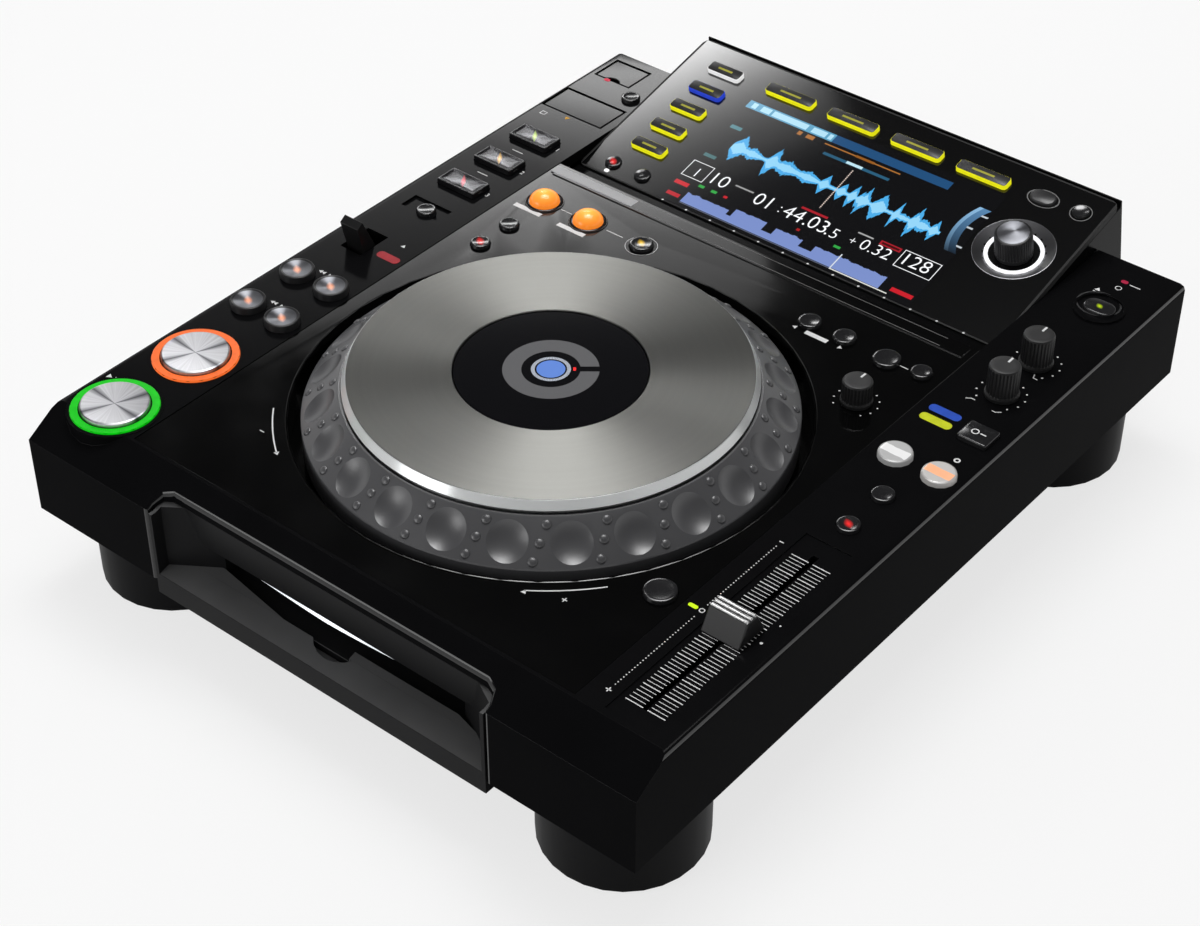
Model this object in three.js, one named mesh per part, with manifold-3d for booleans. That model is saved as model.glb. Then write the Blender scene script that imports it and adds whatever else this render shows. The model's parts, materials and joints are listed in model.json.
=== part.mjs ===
// A tabletop DJ CD player: a black casing with a jog wheel, a tilted display, rows of
// buttons, a long tempo slider and a disc slot at the front. Lengths in millimetres,
// +X to the right, +Y to the rear, +Z up, standing on its feet at Z = 0.
import * as THREE from "three";
import { mergeVertices } from "three/addons/utils/BufferGeometryUtils.js";
import Module from "manifold-3d";

const wasm = await Module();
wasm.setup();

// Casing
const BODY_BOTTOM = 34;
const BODY_H = 46;
const FRONT_H = 35.5;
const SLOPE_D = 17.5;
const WALL = 2.5;
const TOP_WALL = 5;
const EDGE_R = 2.5;
const GAP = 0.3;
const OVERRUN = 2;
const STRIP_W = 42.5;
const LEDGE = 3;
const SLOPE_LAND = 1.5;
const REAR_D = 93.85;

// Deck plate, its jog well and the touch strip
const PLATE_T = 2.5;
const PLATE_END = 5.2;
const WELL_CLEAR = 5.2;
const WELL_SIDE = 7.7;
const WELL_FRONT = 14.95;
const WELL_REAR = 35.1;
const WELL_WALL = 2.4;
const WELL_DEPTH = 16;
const BEZEL_W = 0.8;
const BEZEL_H = 0.4;
const STRIP_BAR_D = 7;
const STRIP_BAR_H = 0.5;
const STRIP_BAR_END = 3;

// Feet and base plate
const BASE_T = 1.5;
const FOOT_R = 33;
const FOOT_EDGE = 1;
const FOOT_WALL = 4;
const FOOT_SIDE = 36.6;
const FOOT_FRONT = 39.25;
const FOOT_REAR = 37.25;
const UPSTAND_H = 20;
const SOCKET_BLOCK_D = 12;
const SOCKET_DEPTH = 9;
const SOCKET_Z = 10.5;
const JACK_R = 4.2;
const JACK_BORE = 1.7;
const JACK_L = 8;
const JACK_DEPTH = 7;

// Slot guide
const NOTCH_W = 172.6;
const NOTCH_DEPTH = 9.2;
const NOTCH_CORNER = 6;
const SLOT_W = 124.8;
const SLOT_BOTTOM = 5.5;
const SLOT_TOP = 18.5;
const JAW_T = 3;
const JAW_SLOPE = 2.5;
const GUIDE_D = 36;
const LIP_FRONT = 4;
const LIP_REAR = 7;
const LIP_DROP = 6.3;
const LIP_D = 10.2;
const SCOOP_R = 13.8;
const SCOOP_D = 4.8;
const CHEEK_FLAT = 5.2;
const CHEEK_T = 1.8;
const CHEEK_END = 15.8;
const CHEEK_H = 36;

// Disc drive
const DRIVE_SIDE = 10.6;
const DRIVE_SPACE = 16.95;
const DRIVE_TOP = 23;
const DRIVE_WALL = 2;
const DRIVE_REACH = 128;
const SPINDLE_R = 11;
const SPINDLE_H = 1.2;
const SPINDLE_Y = 70;

// Display housing and screen, the face tilts up to the rear
const TILT = THREE.MathUtils.degToRad(13.3);
const FACE_L = 99;
const FACE_SIDE = 0.5;
const FACE_START = 38.6;
const FACE_FRONT = 27.2;
const SCREEN_T = 3;
const SCREEN_R = 3;
const HOUSING_BOTTOM = 62;
const HOUSING_LIP = 7;
const HOUSING_WALL = 2.5;
const HOUSING_RIM = 4;
const FACE_RIM = 2;
const CHIN_REACH = 8.32;
const CHIN_BOTTOM = 56.5;
const CHIN_EDGE = 3;
const REAR_LIP = 1.6;

// Jog wheel
const JOG_X = 0.5;
const RING_R = 99.6;
const RING_RISE = 0.5;
const RING_BAND = 15.6;
const RING_TOP = 13.5;
const RING_SKIRT = 10;
const RING_SKIN = 3.6;
const RING_WEB = 3;
const RING_STEP = 4;
const SLEEVE_T = 4;
const SLEEVE_DROP = 12;
const DIMPLES = 24;
const DIMPLE_R = 8;
const DIMPLE_DEPTH = 2.1;
const PLATTER_STEP = 1.2;
const PLATTER_CHAMFER = 2.1;
const PLATTER_TOP = 18.7;
const PLATTER_EDGE = 4.2;
const PLATTER_SKIN = 2.4;
const WINDOW_R = 38.6;
const WINDOW_T = 3.6;
const WINDOW_DROP = 0.5;
const HUB_R = 13.7;
const HUB_FOOT_R = 30;
const HUB_FOOT_T = 3;

// Round and square buttons: radius or sides, rise over the panel and travel
const FLANGE = 1.2;
const FLANGE_T = 1;
const SHAFT_GAP = 0.3;
const CAP_EDGE = 0.5;
const TRANSPORT = { r: 14.2, rise: 2.4, travel: 1.5, dish: 0.4 };
const SEARCH = { r: 7.6, rise: 3.2, travel: 1.2, dish: 1 };
const LOOP = { r: 7.9, rise: 4.2, travel: 1.2, dish: -1.4 };
const SMALL = { r: 4.4, rise: 1.8, travel: 0.8, dish: 0.3 };
const CALL = { r: 4.9, rise: 1.8, travel: 0.8, dish: 0.3 };
const RELOOP = { r: 5.3, rise: 1.8, travel: 0.8, dish: 0.3 };
const EDIT = { r: 5.8, rise: 1.8, travel: 0.8, dish: 0.3 };
const RESET = { r: 6.5, rise: 1.8, travel: 0.8, dish: 0.3 };
const LIT = { r: 7.1, rise: 2.2, travel: 1, dish: 0.3 };
const TEMPO = { r: 4.7, rise: 1.8, travel: 0.8, dish: 0.3 };
const SIDE = { r: 3.8, rise: 1.4, travel: 0.8, dish: 0.3 };
const EJECT = { w: 14, d: 9.6, round: 4.6, rise: 1.6, travel: 1 };
const PAD = { w: 22, d: 11.8, round: 1.2, rise: 2.6, travel: 1 };
const MODE = { w: 13.4, d: 11.8, round: 1.2, rise: 2.2, travel: 1 };
const SOURCE = { w: 18, d: 6.2, round: 1.4, rise: 2.2, travel: 0.8 };
const BROWSE = { w: 26, d: 6.2, round: 1.4, rise: 2.2, travel: 0.8 };
const BACK = { w: 12.4, d: 8, round: 3.8, rise: 1.4, travel: 0.8 };

// Light rings, collars and recesses in the panels
const LIGHT_RING_W = 3.4;
const LIGHT_RING_H = 0.8;
const RING_CLEAR = 0.4;
const COLLAR_R = 19.6;
const COLLAR_H = 9;
const EJECT_RING_R = 11;
const EJECT_RING_H = 0.9;
const EJECT_DISH = 0.9;
const POCKET_W = 21.6;
const POCKET_D = 9.6;
const POCKET_T = 1.2;

// Knobs
const SPEED_KNOB = { r: 6.6, foot: 7.2, rise: 14.7, shaft: 3 };
const JOG_KNOB = { r: 6.3, foot: 6.7, rise: 10.5, shaft: 3 };
const SELECTOR = { r: 8.3, foot: 8.3, rise: 12, shaft: 4 };
const KNOB_EDGE = 0.8;
const KNOB_FOOT = 1.6;
const SHAFT_REACH = 4;
const DISH_R = 18.2;
const DISH_FLOOR_R = 13;
const DISH_DEPTH = 2.4;
const DISH_BOSS = 3;

// Direction lever, which leans to the front at rest
const LEVER_LEAN = THREE.MathUtils.degToRad(19);
const LEVER_W = 10.4;
const LEVER_FOOT = 6.8;
const LEVER_RIDGE = 3.8;
const LEVER_RISE = 15.2;
const LEVER_CREST = 1;
const LEVER_PIVOT = 2;
const LEVER_HEEL = 2;
const LEVER_PIN = 2.6;
const LEVER_EAR = 2.2;
const LEVER_SLOT_GAP = 0.8;
const LEVER_SLOT_D = 17.6;

// Card door and USB cover, each over a bay
const CARD = { w: 34, d: 17.6 };
const USB = { w: 19.4, d: 15.8 };
const DOOR_T = 2;
const DOOR_GAP = 0.5;
const DOOR_HEEL = 2;
const DOOR_NOTCH_R = 5;
const DOOR_NOTCH = 2.4;
const BAY_DEPTH = 16;
const BAY_WALL = 1.5;
const DOOR_REST = 1.2;

// Tempo slider
const TRAY_W = 20.8;
const TRAY_FRONT = 3.07;
const TRAY_END = 8.2;
const TRAY_T = 0.6;
const SLOT_GAP = 2.6;
const SLIDER_TRAVEL = 49;
const TRAVEL_END = 0.5;
const CAP_W = 17.2;
const CAP_FOOT = 16;
const CAP_TOP = 5.6;
const CAP_H = 9.4;
const CAP_LIFT = 0.5;
const BLADE_T = 1.8;
const BLADE_D = 4;
const BLADE_REACH = 9;

// Main board and power supply
const BOARD_W = 196;
const BOARD_D = 104;
const BOARD_T = 1.6;
const BOARD_Z = 8;
const BOARD_REAR = 20.25;
const POST_R = 3;
const CHIP_W = 24;
const CHIP_H = 3.2;
const SUPPLY_SPACE = 11;
const SUPPLY_SIDE = 13;
const SUPPLY_D = 118;
const SUPPLY_H = 22;
const SUPPLY_Y = -8;

// Steps round a turned piece
const JOG_STEPS = 48;
const FOOT_STEPS = 28;
const KNOB_STEPS = 20;
const BUTTON_STEPS = 14;
const SMALL_STEPS = 10;
const DIMPLE_STEPS = 8;
const BOWL_STEPS = 2;
const CORNER_STEPS = 2;

// Places on the side strips: a share of the strip's width, counted out from the deck on
// the right and, below zero, on the left, and a share of the casing's half depth
const PLACE = {
  play: { xShare: -0.4821, yShare: -0.851, size: TRANSPORT },
  cue: { xShare: -0.4821, yShare: -0.615, size: TRANSPORT },
  search_back: { xShare: -0.7009, yShare: -0.405, size: SEARCH },
  search_forward: { xShare: -0.2341, yShare: -0.405, size: SEARCH },
  track_back: { xShare: -0.7009, yShare: -0.249, size: SEARCH },
  track_forward: { xShare: -0.2341, yShare: -0.249, size: SEARCH },
  record_mode: { xShare: -0.4639, yShare: 0.128, size: SMALL },
  usb_stop: { xShare: -0.2341, yShare: 0.836, size: SMALL },
  sync: { xShare: 0.2742, yShare: 0.07, size: LIT },
  master: { xShare: 0.7484, yShare: 0.07, size: LIT },
  tempo_range: { xShare: 0.5186, yShare: -0.057, size: TEMPO },
  master_tempo: { xShare: 0.5186, yShare: -0.18, size: TEMPO },
};

// Places on the deck: shares of its half width and of the well's radius from the jog wheel
const DECK_PLACE = {
  loop_in: { xShare: -0.864, yShare: 1.0575, size: LOOP },
  loop_out: { xShare: -0.642, yShare: 1.0575, size: LOOP },
  reloop: { xShare: -0.377, yShare: 1.0593, size: RELOOP },
  slip: { xShare: -0.862, yShare: 0.8265, size: SMALL },
  quantize: { xShare: -0.864, yShare: 0.647, size: SMALL },
  call_back: { xShare: 0.42, yShare: 1.0593, size: CALL },
  call_forward: { xShare: 0.575, yShare: 1.061, size: CALL },
  delete: { xShare: 0.77, yShare: 1.0468, size: EDIT },
  memory: { xShare: 0.912, yShare: 1.061, size: SMALL },
  tempo_reset: { xShare: 0.913, yShare: -0.5686, size: RESET },
};
const PAD_PLACE = { hot_cue_a: 0.533, hot_cue_b: 0.401, hot_cue_c: 0.269 };
const padXShare = -0.4967;
const modePlaceShares = [0.7155, 0.231];
const ejectPlaceShares = [0.5368, 0.795];
const speedKnobShares = { stop_speed: [0.5368, 0.388], start_speed: [0.5259, 0.53] };
const jogKnobShares = [0.823, 0.7589];
const leverPlaceShares = [-0.5842, -0.0553];
const cardPlaceShares = [-0.5186, 0.729];
const usbPlaceShares = [-0.6462, 0.921];
const trayXShare = 0.5259;
const pocketPlaceShares = [-0.5113, 0.141];

// Places on the glass as shares of its half sizes
const sourceKeyShares = { x: -0.795, rows: [0.675, 0.375, 0.085, -0.22, -0.51] };
const browseKeyShares = { y: 0.7, columns: [-0.467, -0.156, 0.156, 0.467] };
const backPlaceShares = [0.736, 0.715];
const tagPlaceShares = [0.902, 0.725];
const timePlaceShares = [-0.873, -0.833];
const autoPlaceShares = [-0.72, -0.839];
const selectorPlaceShares = [0.785, 0.066];

// Places on the rear upstand and on the main board
const socketXShares = { inlet: 0.84, network: 0.42, computer: 0.2 };
const jackXShares = [-0.5, -0.36, -0.16];
const postShares = [-0.9, 0.9];
const chipPlaceShares = [
  [-0.5, 0.2],
  [0.1, -0.3],
  [0.5, 0.3],
];
const INLET = { w: 20, h: 13 };
const NETWORK = { w: 12, h: 11 };
const COMPUTER = { w: 8.6, h: 8 };

// Sizes and places that follow, from the jog wheel outwards
const WELL_R = RING_R + WELL_CLEAR;
const RING_TOP_R = RING_R - RING_BAND;
const PLATTER_R = RING_TOP_R - PLATTER_STEP;
const PLATTER_TOP_R = PLATTER_R - PLATTER_CHAMFER;
const DECK_W = 2 * (WELL_R + WELL_SIDE);
const DECK_D = WELL_FRONT + 2 * WELL_R + WELL_REAR;
const BODY_W = DECK_W + 2 * STRIP_W;
const BODY_D = SLOPE_D + SLOPE_LAND + DECK_D + REAR_D;
const HALF_W = BODY_W / 2;
const HALF_D = BODY_D / 2;
const TOP = BODY_BOTTOM + BODY_H;
const FRONT = -HALF_D;
const REAR = HALF_D;
const FACE_Z = BODY_BOTTOM + FRONT_H;
const SLOPE_REAR = FRONT + SLOPE_D;
const UNDER = TOP - TOP_WALL;
const DECK_FRONT = SLOPE_REAR + SLOPE_LAND;
const DECK_REAR = DECK_FRONT + DECK_D;
const JOG_Y = DECK_FRONT + WELL_FRONT + WELL_R;
const HOUSING_FRONT = DECK_REAR;
const FACE_W = DECK_W - 2 * FACE_SIDE;
const FACE_CROSS = HOUSING_FRONT + FACE_START;
const PLATE_TOP = TOP - GAP;
const PLATE_UNDER = PLATE_TOP - PLATE_T;
const WELL_FLOOR = TOP - WELL_DEPTH;
const FLOOR = BODY_BOTTOM + BASE_T;
const INSIDE = FLOOR + GAP;
const NOTCH_HALF = NOTCH_W / 2;
const NOTCH_REAR = FRONT + NOTCH_DEPTH;
const RING_FOOT = TOP + RING_RISE;
const WEB_TOP = TOP + RING_TOP - RING_STEP;
const SLOT_L = 2 * (SLIDER_TRAVEL + TRAVEL_END) + BLADE_D;
const TRAY_D = SLOT_L + 2 * TRAY_END;
const BOARD_Y = REAR - BOARD_REAR - BOARD_D / 2;
const DRIVE_W = SLOT_W + 2 * DRIVE_SIDE;
const DRIVE_FRONT = FRONT + GUIDE_D + GAP;
const DRIVE_REAR = BOARD_Y - BOARD_D / 2 - DRIVE_SPACE;
const SUPPLY_RIGHT = -DRIVE_W / 2 - SUPPLY_SPACE;

const colours = {
  case: [0x1c1c1e, 0.55, 0],
  gloss: [0x0a0a0b, 0.12, 0],
  steel: [0x3a3b3d, 0.5, 0.8],
  ring: [0x5a5a5e, 0.4, 0],
  silver: [0x9a9a94, 0.3, 0.9],
  cap: [0x202022, 0.4, 0],
  amber: [0xff9a40, 0.4, 0],
  lit: [0xd8d8d8, 0.35, 0.5],
  board: [0x1f5a38, 0.6, 0],
};

// Solids from three.js geometries
function solid(geometry) {
  const bare = geometry.index ? geometry.toNonIndexed() : geometry.clone();
  for (const name of Object.keys(bare.attributes)) {
    if (name !== "position") bare.deleteAttribute(name);
  }
  const merged = mergeVertices(bare);
  return new wasm.Manifold(
    new wasm.Mesh({
      numProp: 3,
      vertProperties: merged.attributes.position.array,
      triVerts: new Uint32Array(merged.index.array),
    }),
  );
}

function geometryOf(body) {
  const mesh = body.getMesh();
  const places = new Float32Array(mesh.numVert * 3);
  for (let i = 0; i < mesh.numVert; i++) {
    places.set(mesh.vertProperties.subarray(i * mesh.numProp, i * mesh.numProp + 3), i * 3);
  }
  const geometry = new THREE.BufferGeometry();
  geometry.setAttribute("position", new THREE.BufferAttribute(places, 3));
  geometry.setIndex(new THREE.BufferAttribute(new Uint32Array(mesh.triVerts), 1));
  const flat = geometry.toNonIndexed();
  flat.computeVertexNormals();
  return flat;
}

// A box between two limits on each axis
function box(x0, x1, y0, y1, z0, z1) {
  const geometry = new THREE.BoxGeometry(x1 - x0, y1 - y0, z1 - z0);
  geometry.translate((x0 + x1) / 2, (y0 + y1) / 2, (z0 + z1) / 2);
  return solid(geometry);
}

// An outline in X and Y raised from z0 to z1
function raised(points, z0, z1) {
  const shape = new THREE.Shape(points.map(([x, y]) => new THREE.Vector2(x, y)));
  const geometry = new THREE.ExtrudeGeometry(shape, { depth: z1 - z0, bevelEnabled: false });
  geometry.translate(0, 0, z0);
  return solid(geometry);
}

// An outline in Y and Z carried from x0 to x1
function acrossX(points, x0, x1) {
  const shape = new THREE.Shape(points.map(([y, z]) => new THREE.Vector2(y, z)));
  const geometry = new THREE.ExtrudeGeometry(shape, { depth: x1 - x0, bevelEnabled: false });
  geometry.applyMatrix4(
    new THREE.Matrix4().makeBasis(
      new THREE.Vector3(0, 1, 0),
      new THREE.Vector3(0, 0, 1),
      new THREE.Vector3(1, 0, 0),
    ),
  );
  geometry.translate(x0, 0, 0);
  return solid(geometry);
}

// An outline in X and Z carried from y0 to y1
function alongY(points, y0, y1) {
  const shape = new THREE.Shape(points.map(([x, z]) => new THREE.Vector2(x, z)));
  const geometry = new THREE.ExtrudeGeometry(shape, { depth: y1 - y0, bevelEnabled: false });
  geometry.rotateX(Math.PI / 2);
  geometry.translate(0, y1, 0);
  return solid(geometry);
}

// The corners of a rectangle with rounded corners
function roundedOutline(x, y, w, d, r) {
  const points = [];
  const corners = [
    [1, 1, 0],
    [-1, 1, 1],
    [-1, -1, 2],
    [1, -1, 3],
  ];
  for (const [sx, sy, quarter] of corners) {
    for (let i = 0; i <= CORNER_STEPS; i++) {
      const angle = ((quarter + i / CORNER_STEPS) * Math.PI) / 2;
      points.push([
        x + sx * (w / 2 - r) + r * Math.cos(angle),
        y + sy * (d / 2 - r) + r * Math.sin(angle),
      ]);
    }
  }
  return points;
}

// A profile of radius and height turned about an upright line at x, y
function turned(profile, steps, x, y) {
  const points = profile.map(([r, z]) => new THREE.Vector2(r, z));
  const geometry = new THREE.LatheGeometry(points, steps);
  geometry.rotateX(Math.PI / 2);
  geometry.translate(x, y, 0);
  return solid(geometry);
}

function ring(inner, outer, z0, z1, steps, x, y) {
  const profile = [
    [inner, z0],
    [outer, z0],
    [outer, z1],
    [inner, z1],
    [inner, z0],
  ];
  return turned(profile, steps, x, y);
}

function disc(r, z0, z1, steps, x, y) {
  const profile = [
    [0, z0],
    [r, z0],
    [r, z1],
    [0, z1],
  ];
  return turned(profile, steps, x, y);
}

const all = new THREE.Group();
const face = new THREE.Group();

function add(name, body, colour, parent = all) {
  const [color, roughness, metalness] = colours[colour];
  const material = new THREE.MeshStandardMaterial({ color, roughness, metalness });
  const mesh = new THREE.Mesh(geometryOf(body), material);
  mesh.name = name;
  parent.add(mesh);
}

function caseXY([xShare, yShare]) {
  return [(Math.sign(xShare) * DECK_W) / 2 + xShare * STRIP_W, yShare * HALF_D];
}

function deckXY([xShare, yShare]) {
  return [(xShare * DECK_W) / 2, JOG_Y + yShare * WELL_R];
}

function faceXY([xShare, yShare]) {
  return [(xShare * FACE_W) / 2, (yShare * FACE_L) / 2];
}

// A round button: a flange under the panel, a shaft and a dished or domed cap
function roundButton(size, x, y, under, top) {
  const capTop = top + size.rise;
  const capRim = size.r - CAP_EDGE;
  const profile = [
    [0, under - GAP - FLANGE_T],
    [size.r + FLANGE, under - GAP - FLANGE_T],
    [size.r + FLANGE, under - GAP],
    [size.r, under - GAP],
    [size.r, capTop - CAP_EDGE],
    [capRim, capTop],
    [0, capTop - size.dish],
  ];
  return turned(profile, size.r > CALL.r ? BUTTON_STEPS : SMALL_STEPS, x, y);
}

// What a round button clears in the panel above its flange and in what lies beside it
function roundHole(size, x, y, under, top) {
  const shaft = size.r + SHAFT_GAP;
  const flange = size.r + FLANGE + SHAFT_GAP;
  const profile = [
    [0, under - GAP - FLANGE_T - size.travel - OVERRUN],
    [flange, under - GAP - FLANGE_T - size.travel - OVERRUN],
    [flange, under],
    [shaft, under],
    [shaft, top + OVERRUN],
    [0, top + OVERRUN],
  ];
  return turned(profile, size.r > CALL.r ? BUTTON_STEPS : SMALL_STEPS, x, y);
}

function squareButton(size, x, y, under, top) {
  const shaft = roundedOutline(x, y, size.w, size.d, size.round);
  const rim = roundedOutline(
    x,
    y,
    size.w + 2 * FLANGE,
    size.d + 2 * FLANGE,
    size.round + FLANGE,
  );
  const flange = raised(rim, under - GAP - FLANGE_T, under - GAP);
  return flange.add(raised(shaft, under - GAP - FLANGE_T, top + size.rise));
}

function squareHole(size, x, y, under, top) {
  const wide = 2 * SHAFT_GAP;
  const rim = 2 * (FLANGE + SHAFT_GAP);
  const through = roundedOutline(x, y, size.w + wide, size.d + wide, size.round + SHAFT_GAP);
  const below = roundedOutline(
    x,
    y,
    size.w + rim,
    size.d + rim,
    size.round + FLANGE + SHAFT_GAP,
  );
  const low = under - GAP - FLANGE_T - size.travel - OVERRUN;
  return raised(below, low, under).add(raised(through, low, top + OVERRUN));
}

function knob(size, x, y, under, top) {
  const foot = top + GAP;
  const cap = foot + size.rise;
  const profile = [
    [0, under - SHAFT_REACH],
    [size.shaft, under - SHAFT_REACH],
    [size.shaft, foot],
    [size.foot, foot],
    [size.foot, foot + KNOB_FOOT],
    [size.r, foot + KNOB_FOOT],
    [size.r, cap - KNOB_EDGE],
    [size.r - KNOB_EDGE, cap],
    [0, cap],
  ];
  return turned(profile, KNOB_STEPS, x, y);
}

function shaftHole(size, x, y, under, top) {
  const low = under - SHAFT_REACH - OVERRUN;
  return disc(size.shaft + SHAFT_GAP, low, top + OVERRUN, SMALL_STEPS, x, y);
}

// Top case: a shell under a profile that slopes down at the front, with softened edges
function caseOuter() {
  const side = [
    [FRONT, BODY_BOTTOM],
    [REAR, BODY_BOTTOM],
    [REAR, TOP],
    [SLOPE_REAR, TOP],
    [FRONT, FACE_Z],
  ];
  const half = EDGE_R * (1 - Math.SQRT1_2);
  const end = [
    [-HALF_W, BODY_BOTTOM],
    [HALF_W, BODY_BOTTOM],
    [HALF_W, TOP - EDGE_R],
    [HALF_W - half, TOP - half],
    [HALF_W - EDGE_R, TOP],
    [EDGE_R - HALF_W, TOP],
    [half - HALF_W, TOP - half],
    [-HALF_W, TOP - EDGE_R],
  ];
  const width = acrossX(side, -HALF_W, HALF_W);
  return width.intersect(alongY(end, FRONT, REAR));
}

function caseInner() {
  const side = [
    [FRONT + WALL, BODY_BOTTOM - OVERRUN],
    [REAR - WALL, BODY_BOTTOM - OVERRUN],
    [REAR - WALL, UNDER],
    [SLOPE_REAR + WALL, UNDER],
    [FRONT + WALL, FACE_Z - WALL / 2],
  ];
  return acrossX(side, WALL - HALF_W, HALF_W - WALL);
}

function bayAt([xShare, yShare], size) {
  const [x, y] = caseXY([xShare, yShare]);
  return { x, y, w: size.w + 2 * DOOR_GAP, d: size.d + 2 * DOOR_GAP };
}

const bays = { card: bayAt(cardPlaceShares, CARD), usb: bayAt(usbPlaceShares, USB) };

// A bay hangs under the top wall as an open box, with a step that the door rests on
function bayWalls({ x, y, w, d }) {
  const out = w / 2 + BAY_WALL;
  const deep = d / 2 + BAY_WALL;
  return box(x - out, x + out, y - deep, y + deep, TOP - BAY_DEPTH - BAY_WALL, UNDER + GAP);
}

function bayHollow({ x, y, w, d }) {
  const seat = TOP - DOOR_T - GAP;
  const upper = box(x - w / 2, x + w / 2, y - d / 2, y + d / 2, seat, TOP + OVERRUN);
  const nx = w / 2 - DOOR_REST;
  const ny = d / 2 - DOOR_REST;
  const swing = DOOR_T + DOOR_HEEL;
  const lower = box(x - nx, x + nx, y - ny, y + ny, TOP - BAY_DEPTH, TOP);
  const heel = box(x - w / 2, x + w / 2, y + ny - swing, y + d / 2, TOP - swing, TOP);
  return upper.add(lower).add(heel);
}

const [playX, playY] = caseXY([PLACE.play.xShare, PLACE.play.yShare]);
const [ejectX, ejectY] = caseXY(ejectPlaceShares);
const [trayX] = caseXY([trayXShare, 0]);
const trayY = SLOPE_REAR + TRAY_FRONT + TRAY_D / 2;
const [leverX, leverY] = caseXY(leverPlaceShares);
const [modeX, modeY] = caseXY(modePlaceShares);

function topCase() {
  let body = caseOuter().subtract(caseInner());
  for (const bay of Object.values(bays)) body = body.add(bayWalls(bay));
  body = body.add(disc(COLLAR_R, TOP - COLLAR_H, TOP + GAP, KNOB_STEPS, playX, playY));
  for (const { xShare, yShare, size } of [PLACE.play, PLACE.cue]) {
    const [x, y] = caseXY([xShare, yShare]);
    const inner = size.r + RING_CLEAR;
    const high = TOP + LIGHT_RING_H;
    body = body.add(ring(inner, inner + LIGHT_RING_W, TOP - GAP, high, KNOB_STEPS, x, y));
  }
  const ejectTop = TOP + EJECT_RING_H;
  body = body.add(disc(EJECT_RING_R, TOP - GAP, ejectTop, KNOB_STEPS, ejectX, ejectY));

  const half = DECK_W / 2;
  const cuts = [
    box(-half, half, DECK_FRONT, DECK_REAR, PLATE_UNDER - GAP, TOP + OVERRUN),
    box(LEDGE - half, half - LEDGE, DECK_FRONT + LEDGE, DECK_REAR, UNDER - OVERRUN, TOP),
    box(-half, half, DECK_REAR - OVERRUN, REAR + OVERRUN, BODY_BOTTOM - OVERRUN, TOP + OVERRUN),
    raised(
      roundedOutline(0, NOTCH_REAR - SLOPE_D, NOTCH_W, 2 * SLOPE_D, NOTCH_CORNER),
      BODY_BOTTOM - OVERRUN,
      TOP + OVERRUN,
    ),
    box(
      trayX - TRAY_W / 2,
      trayX + TRAY_W / 2,
      trayY - TRAY_D / 2,
      trayY + TRAY_D / 2,
      TOP - TRAY_T,
      TOP + OVERRUN,
    ),
    box(
      trayX - SLOT_GAP / 2,
      trayX + SLOT_GAP / 2,
      trayY - SLOT_L / 2,
      trayY + SLOT_L / 2,
      UNDER - OVERRUN,
      TOP,
    ),
    box(
      leverX - LEVER_W / 2 - LEVER_SLOT_GAP,
      leverX + LEVER_W / 2 + LEVER_SLOT_GAP,
      leverY - LEVER_SLOT_D / 2,
      leverY + LEVER_SLOT_D / 2,
      UNDER - OVERRUN,
      TOP + OVERRUN,
    ),
    squareHole(EJECT, ejectX, ejectY, UNDER, TOP),
    disc(
      EJECT_RING_R - EJECT_RING_H,
      ejectTop - EJECT_DISH,
      ejectTop + OVERRUN,
      KNOB_STEPS,
      ejectX,
      ejectY,
    ),
    squareHole(MODE, modeX, modeY, UNDER, TOP),
  ];
  const [pocketX, pocketY] = caseXY(pocketPlaceShares);
  cuts.push(
    box(
      pocketX - POCKET_W / 2,
      pocketX + POCKET_W / 2,
      pocketY - POCKET_D / 2,
      pocketY + POCKET_D / 2,
      TOP - POCKET_T,
      TOP + OVERRUN,
    ),
  );
  for (const bay of Object.values(bays)) cuts.push(bayHollow(bay));
  for (const { xShare, yShare, size } of Object.values(PLACE)) {
    cuts.push(roundHole(size, ...caseXY([xShare, yShare]), UNDER, TOP));
  }
  for (const { xShare, yShare, size } of Object.values(DECK_PLACE)) {
    cuts.push(roundHole(size, ...deckXY([xShare, yShare]), PLATE_UNDER, TOP));
  }
  for (const yShare of Object.values(PAD_PLACE)) {
    cuts.push(squareHole(PAD, ...caseXY([padXShare, yShare]), UNDER, TOP));
  }
  for (const shares of Object.values(speedKnobShares)) {
    cuts.push(shaftHole(SPEED_KNOB, ...caseXY(shares), UNDER, TOP));
  }
  for (const cut of cuts) body = body.subtract(cut);
  return body;
}

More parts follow.
